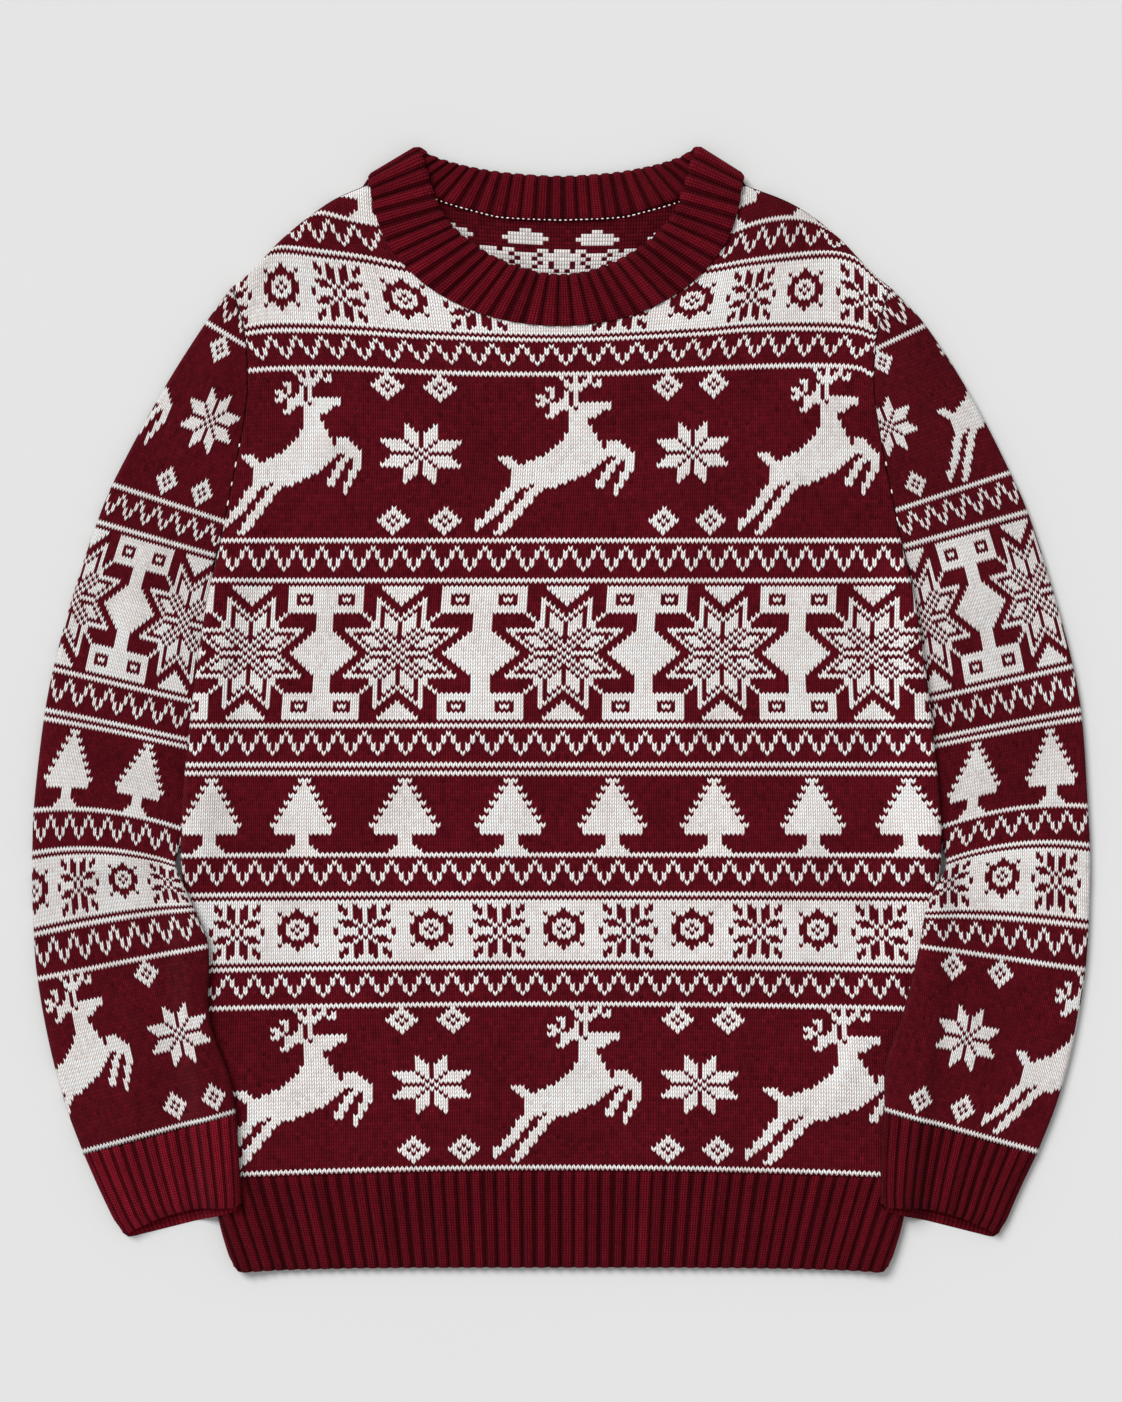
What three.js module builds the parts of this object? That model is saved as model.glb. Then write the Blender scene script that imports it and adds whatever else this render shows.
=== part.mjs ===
// A jacquard crew-neck sweater laid flat on a table, front side up.
// The upper arms lie under the body's sides and the forearms over them.
// Millimetres. +X is the viewer's right, +Y runs up to the neck, +Z is up from the table.
// The origin is on the table under the middle of the whole outline.

import * as THREE from 'three';

// Cloth
const WALL = 2.2;
const SEAM_GAP = 0.5;
const RIB_HEIGHT = 0.9;
const POINTS_PER_RIB = 2;
const WINE = 0x5d1019;
const RIB_WINE = 0x540d17;

// Body, measured over both layers
const BODY_THICKNESS = 6.6;
const SIDE_ROLL = 4.2;
const FULLNESS_REACH = 30;
const HEM_SEAM_Y = -299;
const HEM_SEAM_DROP = 4;
const SHOULDER_POINT_Y = 275;
const SHOULDER_ROLL = 3.3;
const UNDERARM_Y = 105;
const ARMHOLE_BLEND = 20;
const ARMHOLE_DIP = 0.6;
const SIDE_MARGIN = 40;

// The side lies on the tucked sleeve between the underarm and the elbow
const SIDE_LIFT = 6.5;
const LIFT_FLAT = 11;
const LIFT_REACH = 38;
const LIFT_TOP = { full: 84, none: 104 };
const LIFT_FOOT = { full: -88, none: -122 };

// Half the body's width at each height
const SIDE_WIDTHS = [
  { y: -366, half: 212 },
  { y: -328, half: 222.5 },
  { y: -220, half: 236 },
  { y: -95, half: 246 },
  { y: -25, half: 242 },
  { y: 60, half: 231 },
  { y: 130, half: 216.5 },
  { y: 190, half: 205 },
  { y: 215, half: 203 },
  { y: 245, half: 205 },
  { y: SHOULDER_POINT_Y, half: 213 },
];
const NECK_CORNER_X = 126.5;
const SHOULDER_LINE = [
  { x: NECK_CORNER_X, y: 341 },
  { x: 150, y: 330 },
  { x: 180, y: 307 },
  { x: 202, y: 284 },
  { x: 213, y: SHOULDER_POINT_Y },
];
const FRONT_NECK = [
  { x: 0, y: 248.1 },
  { x: 46.3, y: 254.1 },
  { x: 85.5, y: 272.3 },
  { x: 111.6, y: 298.6 },
  { x: 121.7, y: 321.8 },
  { x: 124.8, y: 337 },
  { x: NECK_CORNER_X, y: 341 },
];
const BACK_NECK = [
  { x: 0, y: 316.6 },
  { x: 40, y: 318.7 },
  { x: 81.8, y: 330.1 },
  { x: 114.5, y: 340 },
  { x: NECK_CORNER_X, y: 341 },
];

// Sleeves: each section runs from the outer fold to the inner one, at a knitted row counted from the cuff.
// innerRoll is the radius of the inner fold, which is pressed thin where the body lies on it.
const SLEEVE_THICKNESS = 8.2;
const OUTER_ROLL = 3.6;
const PRESSED_ROLL = 2.8;
const LOOSE_ROLL = 3.5;
const SLEEVE_FULL_AT = 40;
const OVER_SIDE_GAP = 1;
const OVER_SIDE_RAMP = 16;
const OVER_SIDE_TOP = { full: -110, none: -88 };
const RIGHT_SLEEVE = [
  { row: 0, outX: 309, outY: -287, inX: 209, inY: -258.5, innerRoll: LOOSE_ROLL },
  { row: 15, outX: 321.5, outY: -255, inX: 210, inY: -228.5, innerRoll: LOOSE_ROLL },
  { row: 30, outX: 332, outY: -217, inX: 221, inY: -196, innerRoll: LOOSE_ROLL },
  { row: 43, outX: 339.5, outY: -174, inX: 232, inY: -151, innerRoll: LOOSE_ROLL },
  { row: 53, outX: 342, outY: -146, inX: 236, inY: -128, innerRoll: LOOSE_ROLL },
  { row: 62, outX: 343, outY: -118.5, inX: 243, inY: -112.5, innerRoll: LOOSE_ROLL },
  { row: 71, outX: 343.3, outY: -92.5, inX: 249.5, inY: -98, innerRoll: LOOSE_ROLL },
  { row: 81, outX: 342, outY: -64.5, inX: 243, inY: -78, innerRoll: PRESSED_ROLL },
  { row: 103, outX: 338, outY: -5, inX: 234, inY: -27, innerRoll: PRESSED_ROLL },
  { row: 115, outX: 332.5, outY: 27.5, inX: 229, inY: 2, innerRoll: PRESSED_ROLL },
  { row: 134, outX: 320, outY: 75, inX: 224.5, inY: 50, innerRoll: PRESSED_ROLL },
  { row: 153, outX: 304.5, outY: 124, inX: 225.2, inY: 92, innerRoll: PRESSED_ROLL },
];
const RIGHT_CAP = [
  { along: 0, x: 304.5, y: 124 },
  { along: 0.16, x: 295, y: 147 },
  { along: 0.5, x: 266, y: 204 },
  { along: 0.84, x: 235, y: 252 },
  { along: 1, x: 213.5, y: SHOULDER_POINT_Y },
];
const LEFT_SLEEVE = [
  { row: 0, outX: 310, outY: -287, inX: 210.5, inY: -260, innerRoll: LOOSE_ROLL },
  { row: 15, outX: 321.5, outY: -256, inX: 214, inY: -238, innerRoll: LOOSE_ROLL },
  { row: 30, outX: 332.5, outY: -214, inX: 227, inY: -200, innerRoll: LOOSE_ROLL },
  { row: 43, outX: 340.3, outY: -169, inX: 228, inY: -152, innerRoll: LOOSE_ROLL },
  { row: 53, outX: 342.2, outY: -141, inX: 235.5, inY: -131.5, innerRoll: LOOSE_ROLL },
  { row: 62, outX: 343.2, outY: -115.5, inX: 243.5, inY: -113, innerRoll: LOOSE_ROLL },
  { row: 71, outX: 343, outY: -89, inX: 249.5, inY: -98, innerRoll: LOOSE_ROLL },
  { row: 81, outX: 342, outY: -62, inX: 243, inY: -78, innerRoll: PRESSED_ROLL },
  { row: 103, outX: 335.5, outY: -5, inX: 234, inY: -26, innerRoll: PRESSED_ROLL },
  { row: 115, outX: 329, outY: 29, inX: 229.5, inY: 5, innerRoll: PRESSED_ROLL },
  { row: 134, outX: 316, outY: 77, inX: 224.5, inY: 54, innerRoll: PRESSED_ROLL },
  { row: 153, outX: 298.5, outY: 129, inX: 225.2, inY: 94, innerRoll: PRESSED_ROLL },
];
const LEFT_CAP = [
  { along: 0, x: 298.5, y: 129 },
  { along: 0.16, x: 287.5, y: 154 },
  { along: 0.5, x: 257, y: 210 },
  { along: 0.84, x: 231, y: 251 },
  { along: 1, x: 213.5, y: SHOULDER_POINT_Y },
];
const CAP_STEPS = [0.2, 0.45, 0.68, 0.86, 1];

// Ribbing
const HEM_BOTTOM_Y = -361;
const HEM_BOTTOM_DROP = 3.3;
const HEM_THICKNESS = 6;
const HEM_RIBS = 54;
const CUFF_THICKNESS = 6.4;
const CUFF_ROLL = 3.3;
const CUFF_RIBS = 13;
const CUFF_LIP = 3.5;
const RIGHT_CUFF = [
  { along: 0, outX: 309, outY: -287, inX: 209, inY: -258.5 },
  { along: 0.5, outX: 296.5, outY: -313.5, inX: 207, inY: -292 },
  { along: 1, outX: 284, outY: -343, inX: 206.5, inY: -323.5 },
];
const LEFT_CUFF = [
  { along: 0, outX: 310, outY: -287, inX: 210.5, inY: -260 },
  { along: 0.5, outX: 298.5, outY: -313, inX: 208, inY: -293 },
  { along: 1, outX: 284, outY: -343, inX: 206.5, inY: -323.5 },
];

// Collar: the middle of the band at its sewn and free edges.
// The rows run from the front centre round one fold to the back centre.
const COLLAR_HALF_WALL = 1.5;
const COLLAR_RIB_HEIGHT = 0.8;
const COLLAR_RIBS = 60;
const COLLAR_BAND = [
  { sewnX: 0, sewnY: 249.2, sewnZ: 6, freeX: 0, freeY: 282, freeZ: 8.6 },
  { sewnX: 46, sewnY: 255.4, sewnZ: 6, freeX: 27, freeY: 286.5, freeZ: 8.7 },
  { sewnX: 84.6, sewnY: 273.6, sewnZ: 6, freeX: 53, freeY: 299, freeZ: 9 },
  { sewnX: 110.4, sewnY: 299.5, sewnZ: 6.3, freeX: 72.5, freeY: 315.5, freeZ: 9.4 },
  { sewnX: 120.4, sewnY: 322.3, sewnZ: 7.4, freeX: 82, freeY: 332, freeZ: 9.8 },
  { sewnX: 123.4, sewnY: 338.4, sewnZ: 8.2, freeX: 88.5, freeY: 353, freeZ: 9.8 },
  { sewnX: 124, sewnY: 345, sewnZ: 5.4, freeX: 92, freeY: 364, freeZ: 6.6 },
  { sewnX: 115, sewnY: 341.6, sewnZ: 2.5, freeX: 82, freeY: 359, freeZ: 3 },
  { sewnX: 82, sewnY: 331.7, sewnZ: 2.3, freeX: 62, freeY: 353, freeZ: 3.1 },
  { sewnX: 40, sewnY: 320.4, sewnZ: 2.3, freeX: 34, freeY: 348.3, freeZ: 3.3 },
  { sewnX: 0, sewnY: 318.2, sewnZ: 2.3, freeX: 0, freeY: 346.3, freeZ: 3.3 },
];

// Largest folds: soft ridges, or troughs where the height is negative, each along a line through its middle
const BODY_FOLDS = [
  { x: -48, y: -235, turn: 92, reach: 62, width: 13, height: 1.3 },
  { x: 118, y: -228, turn: 84, reach: 55, width: 15, height: 1.1 },
  { x: -150, y: 175, turn: 62, reach: 60, width: 14, height: 1.2 },
  { x: 152, y: 168, turn: 118, reach: 58, width: 14, height: 1.2 },
  { x: -195, y: -20, turn: 83, reach: 90, width: 12, height: 1 },
  { x: 194, y: -30, turn: 97, reach: 85, width: 12, height: 1 },
  { x: 20, y: 60, turn: 8, reach: 95, width: 17, height: 0.8 },
];
const SLEEVE_FOLDS = [
  { x: -292, y: -100, turn: 8, reach: 44, width: 9, height: 1.6 },
  { x: -288, y: -168, turn: -28, reach: 38, width: 8, height: -1.4 },
  { x: -272, y: -196, turn: -48, reach: 34, width: 8, height: 1.3 },
  { x: -276, y: 60, turn: 74, reach: 60, width: 11, height: 1.1 },
  { x: 290, y: -98, turn: -6, reach: 42, width: 9, height: 1.6 },
  { x: 282, y: -172, turn: 34, reach: 40, width: 8, height: -1.4 },
  { x: 262, y: -200, turn: 62, reach: 36, width: 9, height: 1.4 },
  { x: 272, y: 58, turn: 106, reach: 60, width: 11, height: 1.1 },
];

const QUARTER = Math.PI / 2;
const { clamp, degToRad } = THREE.MathUtils;
const mix = (a, b, t) => a + (b - a) * t;
const rising = (low, high, value) => THREE.MathUtils.smoothstep(value, low, high);
const falling = (low, high, value) => 1 - rising(low, high, value);

// A smooth curve through one column of a table whose key column rises
function through(rows, key, column) {
  const keys = rows.map((row) => row[key]);
  const values = rows.map((row) => row[column]);
  const last = keys.length - 1;
  const slopes = keys.map((_, i) => {
    const before = Math.max(i - 1, 0);
    const after = Math.min(i + 1, last);
    return (values[after] - values[before]) / (keys[after] - keys[before]);
  });
  return (at) => {
    const k = clamp(at, keys[0], keys[last]);
    let i = 0;
    while (i < last - 1 && k > keys[i + 1]) i += 1;
    const span = keys[i + 1] - keys[i];
    const t = (k - keys[i]) / span;
    const rise = values[i + 1] - values[i];
    const bend = (slopes[i] * span - rise) * (1 - t) - (slopes[i + 1] * span - rise) * t;
    return values[i] + rise * t + t * (1 - t) * bend;
  };
}

const halfWidth = through(SIDE_WIDTHS, 'y', 'half');
const sideAt = (y) => halfWidth(Math.min(y, SHOULDER_POINT_Y));
const shoulderY = through(SHOULDER_LINE, 'x', 'y');
const hemSeamY = (x) => HEM_SEAM_Y - HEM_SEAM_DROP * (x / sideAt(HEM_SEAM_Y)) ** 2;

// Height that a list of folds adds at a point
function foldHeight(folds, x, y) {
  return folds.reduce((sum, fold) => {
    const turn = degToRad(fold.turn);
    const along = (x - fold.x) * Math.cos(turn) + (y - fold.y) * Math.sin(turn);
    const across = (y - fold.y) * Math.cos(turn) - (x - fold.x) * Math.sin(turn);
    const ends = Math.max(0, 1 - (along / fold.reach) ** 2);
    return sum + fold.height * ends * ends * Math.exp(-((across / fold.width) ** 2));
  }, 0);
}

// How far the tucked sleeve holds the body off the table
function bodyLift(x, y) {
  const inward = sideAt(y) - Math.abs(x);
  const above = falling(LIFT_TOP.full, LIFT_TOP.none, y);
  const below = rising(LIFT_FOOT.none, LIFT_FOOT.full, y);
  return SIDE_LIFT * above * below * falling(LIFT_FLAT, LIFT_REACH, inward);
}

const armholeShare = (y) => rising(UNDERARM_Y, UNDERARM_Y + ARMHOLE_BLEND, y);

// Top of the front panel, before its edges turn down
function frontTop(x, y) {
  const inward = sideAt(y) - Math.abs(x);
  const armhole = armholeShare(y);
  const bead = (2 * SIDE_ROLL - BODY_THICKNESS) * falling(SIDE_ROLL, FULLNESS_REACH, inward);
  const fullness = bead * (1 - armhole);
  const dip = ARMHOLE_DIP * falling(0, 22, inward) * armhole * falling(232, 262, y);
  const folds = foldHeight(BODY_FOLDS, x, y) * rising(4, 26, inward);
  return BODY_THICKNESS + fullness - dip + bodyLift(x, y) + folds;
}

// Closed solid between an outer and an inner grid of points, joined round their edges
function solid(name, colour, outer, inner, ring) {
  const rows = outer.length;
  const columns = outer[0].length;
  const spans = ring ? columns : columns - 1;
  const points = [...outer.flat(), ...inner.flat()];
  const index = [];
  const out = (r, c) => r * columns + (c % columns);
  const inn = (r, c) => rows * columns + out(r, c);
  const quad = (a, b, c, d) => index.push(a, b, c, a, c, d);
  for (let r = 0; r < rows - 1; r += 1) {
    for (let c = 0; c < spans; c += 1) {
      quad(out(r, c), out(r, c + 1), out(r + 1, c + 1), out(r + 1, c));
      quad(inn(r, c), inn(r + 1, c), inn(r + 1, c + 1), inn(r, c + 1));
    }
  }
  const end = rows - 1;
  for (let c = 0; c < spans; c += 1) {
    quad(out(0, c), inn(0, c), inn(0, c + 1), out(0, c + 1));
    quad(out(end, c), out(end, c + 1), inn(end, c + 1), inn(end, c));
  }
  if (!ring) {
    for (let r = 0; r < end; r += 1) {
      quad(out(r, 0), out(r + 1, 0), inn(r + 1, 0), inn(r, 0));
      quad(out(r, spans), inn(r, spans), inn(r + 1, spans), out(r + 1, spans));
    }
  }
  let volume = 0;
  for (let i = 0; i < index.length; i += 3) {
    const [a, b, c] = [0, 1, 2].map((k) => new THREE.Vector3(...points[index[i + k]]));
    volume += a.dot(b.cross(c));
  }
  const geometry = new THREE.BufferGeometry();
  geometry.setAttribute('position', new THREE.Float32BufferAttribute(points.flat(), 3));
  geometry.setIndex(volume < 0 ? index.reverse() : index);
  geometry.computeVertexNormals();
  const mesh = new THREE.Mesh(geometry, new THREE.MeshStandardMaterial({ color: colour, roughness: 0.9 }));
  mesh.name = name;
  return mesh;
}

// A panel of the body. Its side and shoulder edges turn through a quarter circle to the seams at mid height.
const SIDE_TURN = Math.asin(SEAM_GAP / 2 / (SIDE_ROLL - WALL));
const SHOULDER_TURN = Math.asin(SEAM_GAP / 2 / (SHOULDER_ROLL - WALL));
const PANEL_LEVELS = [
  -260, -220, -180, -145, -122, -112, -104, -96, -88, -60,
  -25, 15, 52, 84, 94, 105, 115, 126, 160, 200,
];
const PANEL_TOP_SHARES = [0.35, 0.7];

function panelColumns(shares) {
  const half = [
    ...shares.map((share) => ({ place: (y) => share * (sideAt(y) - SIDE_MARGIN), turn: QUARTER })),
    ...[30, 20, 11].map((inward) => ({ place: (y) => sideAt(y) - inward, turn: QUARTER })),
    ...[QUARTER, QUARTER / 2, SIDE_TURN].map((turn) => ({
      place: (y) => sideAt(y) - SIDE_ROLL * (1 - Math.cos(turn)),
      turn,
    })),
  ];
  const left = half.slice(1).reverse().map((column) => ({ ...column, side: -1 }));
  return [...left, ...half.map((column) => ({ ...column, side: 1 }))];
}

function panelTop(place, neckY) {
  let y = SHOULDER_POINT_Y;
  for (let i = 0; i < 30; i += 1) {
    const x = place(y);
    y = mix(y, x < NECK_CORNER_X - 0.1 ? neckY(x) : shoulderY(x), 0.7);
  }
  return y;
}

function panelLevels(topY, x) {
  const shoulder = x > NECK_CORNER_X - 0.1;
  const slant = shoulder ? 1.25 : 1;
  const start = PANEL_LEVELS[PANEL_LEVELS.length - 1];
  const flatTop = topY - 11 * slant;
  const turns = [QUARTER, QUARTER / 2, shoulder ? SHOULDER_TURN : 0];
  return [
    { y: hemSeamY(x), turn: QUARTER },
    ...PANEL_LEVELS.map((y) => ({ y, turn: QUARTER })),
    ...PANEL_TOP_SHARES.map((share) => ({ y: mix(start, flatTop, share), turn: QUARTER })),
    { y: flatTop, turn: QUARTER },
    ...turns.map((turn) => ({ y: topY - slant * SHOULDER_ROLL * (1 - Math.cos(turn)), turn })),
  ];
}

function panel(name, shares, neckY, isFront) {
  const columns = panelColumns(shares).map((column) => {
    const topY = panelTop(column.place, neckY);
    const topX = column.place(topY);
    return { ...column, topX, levels: panelLevels(topY, topX) };
  });
  const grid = (inside) => columns[0].levels.map((_, r) => columns.map((column) => {
    const level = column.levels[r];
    const wall = inside ? WALL : 0;
    const topShare = rising(NECK_CORNER_X - 9, NECK_CORNER_X - 0.2, column.topX);
    const y = level.y - topShare * wall * Math.cos(level.turn);
    const sideShare = 1 - armholeShare(y);
    const x = column.place(y) - sideShare * wall * Math.cos(column.turn);
    const dropSide = sideShare * (SIDE_ROLL - wall) * (1 - Math.sin(column.turn));
    const dropTop = topShare * (SHOULDER_ROLL - wall) * (1 - Math.sin(level.turn));
    const drop = wall + dropSide + dropTop;
    return [column.side * x, y, isFront ? frontTop(x, y) - drop : bodyLift(x, y) + drop];
  }));
  return solid(name, WINE, grid(false), grid(true), false);
}

const FRONT_SHARES = [0, 0.13, 0.25, 0.36, 0.46, 0.56, 0.645, 0.7, 0.722, 0.7314, 0.87, 1];
const BACK_SHARES = [0, 0.25, 0.48, 0.66, 0.7314, 1];
const front = panel('front', FRONT_SHARES, through(FRONT_NECK, 'x', 'y'), true);
const back = panel('back', BACK_SHARES, through(BACK_NECK, 'x', 'y'), false);

// Height of what a sleeve rests on: the table, or the body's side where the forearm lies over it
function restHeight(x, y) {
  const beyond = Math.abs(x) - sideAt(y);
  const bead = Math.min(Math.abs(x), sideAt(y) - SIDE_ROLL);
  const rib = RIB_HEIGHT * falling(-297, -290, y);
  const level = frontTop(bead, Math.max(y, -290)) + rib + OVER_SIDE_GAP;
  return level * falling(OVER_SIDE_TOP.full, OVER_SIDE_TOP.none, y) * falling(-3, OVER_SIDE_RAMP, beyond);
}

// One flattened ring from an outer fold to an inner one.
// place gives the plan point at a distance from the outer fold.
// rest gives the height under a point, and topHeight the thickness there.
const TOP_STATIONS = [8, 15, 22, 30, 40];
const UNDER_STATIONS = [7, 12, 17, 22, 28, 34, 40];
const FOLD_TURNS = [-QUARTER, -QUARTER / 2, 0, QUARTER / 2, QUARTER];

function flatRing(length, outerRoll, innerRoll, place, rest, topHeight, topList, inside) {
  const wall = inside ? WALL : 0;
  const points = [];
  const fold = (radius, isOuter, turn) => {
    const inner = radius - wall;
    const from = radius - inner * Math.cos(turn);
    const seat = place(isOuter ? radius : length - radius);
    const [x, y] = place(isOuter ? from : length - from);
    points.push([x, y, rest(...seat) + radius + inner * Math.sin(turn)]);
  };
  FOLD_TURNS.forEach((turn) => fold(innerRoll, false, turn));
  topList.forEach((fromInner) => {
    const [x, y] = place(length - fromInner);
    points.push([x, y, rest(x, y) + topHeight(length - fromInner, fromInner, x, y) - wall]);
  });
  [...FOLD_TURNS].reverse().forEach((turn) => fold(outerRoll, true, turn));
  const span = length - outerRoll - 40;
  const far = [0.75, 0.4].map((share) => 40 + span * share);
  [...far, ...[...UNDER_STATIONS].reverse()].forEach((fromInner) => {
    const [x, y] = place(length - fromInner);
    points.push([x, y, rest(x, y) + wall]);
  });
  return points;
}

function sleeve(name, side, table, cap, folds) {
  const column = (field) => through(table, 'row', field);
  const [outX, outY, inX, inY, roll] = ['outX', 'outY', 'inX', 'inY', 'innerRoll'].map(column);
  const capX = through(cap, 'along', 'x');
  const capY = through(cap, 'along', 'y');
  const lastRow = table[table.length - 1].row;
  const armX = (y) => sideAt(y) + SEAM_GAP + 0.2;
  const sections = [
    ...table.map(({ row }) => ({ row, along: 0 })),
    ...CAP_STEPS.map((along) => ({ row: lastRow, along })),
  ];
  const ring = ({ row, along }, inside) => {
    const start = along > 0 ? [capX(along), capY(along)] : [outX(row), outY(row)];
    const shift = row === 0 ? SEAM_GAP : 0;
    const end = [mix(inX(row), armX(UNDERARM_Y) + 1.4, along), mix(inY(row), UNDERARM_Y + 1, along)];
    start[1] += shift;
    end[1] += shift;
    const length = Math.hypot(end[0] - start[0], end[1] - start[1]);
    const outerRoll = mix(OUTER_ROLL, SHOULDER_ROLL, along);
    const innerRoll = roll(row);
    const place = (fromOuter) => {
      const t = fromOuter / length;
      const y = mix(start[1], end[1], t);
      const bow = armX(y) - mix(armX(SHOULDER_POINT_Y), armX(UNDERARM_Y), clamp(t, 0, 1));
      const lean = Math.max(0, along - 0.5) * 2;
      return [side * (mix(start[0], end[0], t) + bow * lean * lean), y];
    };
    const height = (fromOuter, fromInner, x, y) => {
      const armY = clamp(y, UNDERARM_Y, SHOULDER_POINT_Y);
      const fromArm = Math.hypot(Math.max(0, Math.abs(x) - armX(armY)), armY - y);
      const armSeam = BODY_THICKNESS - ARMHOLE_DIP * falling(232, 262, y);
      const loss = Math.max(
        (SLEEVE_THICKNESS - 2 * outerRoll) * falling(0, SLEEVE_FULL_AT, fromOuter),
        (SLEEVE_THICKNESS - 2 * innerRoll) * falling(0, SLEEVE_FULL_AT, fromInner),
        (SLEEVE_THICKNESS - armSeam) * falling(0, 25, fromArm),
      );
      const fade = rising(5, 26, fromOuter) * rising(12, 32, fromInner) * rising(5, 30, fromArm);
      return SLEEVE_THICKNESS - loss + foldHeight(folds, x, y) * fade;
    };
    const span = length - outerRoll - 40;
    const topList = [...TOP_STATIONS, 40 + span * 0.4, 40 + span * 0.8];
    return flatRing(length, outerRoll, innerRoll, place, restHeight, height, topList, inside);
  };
  const grid = (inside) => sections.map((section) => ring(section, inside));
  return solid(name, WINE, grid(false), grid(true), true);
}

// Evenly spread ribs: the height of the rib line at a count of ribs along it
const ribAt = (count) => RIB_HEIGHT * (0.5 - 0.5 * Math.cos(2 * Math.PI * count));

function cuff(name, side, table) {
  const column = (field) => through(table, 'along', field);
  const [outX, outY, inX, inY] = ['outX', 'outY', 'inX', 'inY'].map(column);
  const steps = CUFF_RIBS * POINTS_PER_RIB;
  const ring = (level, inside) => {
    const at = (lip) => clamp(level, 0.008, 1) - (level === 1 ? lip : 0);
    const lipShare = CUFF_LIP / Math.hypot(outX(0) - outX(1), outY(0) - outY(1));
    const ends = (lip) => [[outX(at(lip)), outY(at(lip))], [inX(at(lip)), inY(at(lip))]];
    const [start, end] = ends(0);
    const length = Math.hypot(end[0] - start[0], end[1] - start[1]);
    const place = (fromOuter) => {
      const t = fromOuter / length;
      return [side * mix(start[0], end[0], t), mix(start[1], end[1], t)];
    };
    const span = length - 2 * CUFF_ROLL;
    const topList = Array.from({ length: steps - 1 }, (_, i) => CUFF_ROLL + (span * (i + 1)) / steps);
    const height = (fromOuter, fromInner) => {
      const count = (CUFF_RIBS * (fromInner - CUFF_ROLL)) / span;
      return CUFF_THICKNESS + (inside ? 0 : ribAt(count)) * rising(0, 4, Math.min(fromOuter, fromInner));
    };
    const points = flatRing(length, CUFF_ROLL, CUFF_ROLL, place, restHeight, height, topList, inside);
    const [lipStart] = ends(lipShare);
    const lift = [side * (lipStart[0] - start[0]), lipStart[1] - start[1]];
    return points.map(([x, y, z]) => {
      const up = clamp((z - restHeight(x, y) - 1) / (CUFF_THICKNESS - 2), 0, 1);
      return [x + lift[0] * up * 0.4, y + lift[1] * up, z];
    });
  };
  const grid = (inside) => [0, 0.5, 1].map((level) => ring(level, inside));
  return solid(name, RIB_WINE, grid(false), grid(true), true);
}

function hemRib() {
  const steps = HEM_RIBS * POINTS_PER_RIB;
  const ring = (along, inside) => {
    const wall = inside ? WALL : 0;
    const bottomY = (x) => HEM_BOTTOM_Y - HEM_BOTTOM_DROP * (x / sideAt(HEM_BOTTOM_Y)) ** 4;
    const levelY = (x) => mix(hemSeamY(x) - SEAM_GAP, bottomY(x), along);
    const half = sideAt(levelY(sideAt(HEM_SEAM_Y)));
    const points = [];
    const fold = (side, turn) => {
      const inner = SIDE_ROLL - wall;
      const x = side * (half - SIDE_ROLL + inner * Math.cos(turn));
      points.push([x, levelY(x), SIDE_ROLL + inner * Math.sin(turn)]);
    };
    const span = half - SIDE_ROLL;
    FOLD_TURNS.forEach((turn) => fold(1, turn));
    for (let i = 1; i < steps; i += 1) {
      const x = span * (1 - (2 * i) / steps);
      const inward = half - Math.abs(x);
      const bead = (2 * SIDE_ROLL - HEM_THICKNESS) * falling(SIDE_ROLL, FULLNESS_REACH, inward);
      const rib = ribAt((i * HEM_RIBS) / steps) * rising(SIDE_ROLL, SIDE_ROLL + 8, inward);
      points.push([x, levelY(x), HEM_THICKNESS + bead + (inside ? 0 : rib) - wall]);
    }
    [...FOLD_TURNS].reverse().forEach((turn) => fold(-1, turn));
    for (let i = 1; i < 12; i += 1) {
      const x = -span * (1 - i / 6);
      points.push([x, levelY(x), wall]);
    }
    return points;
  };
  const grid = (inside) => [0, 0.5, 1].map((along) => ring(along, inside));
  return solid('hem_rib', RIB_WINE, grid(false), grid(true), true);
}

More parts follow.
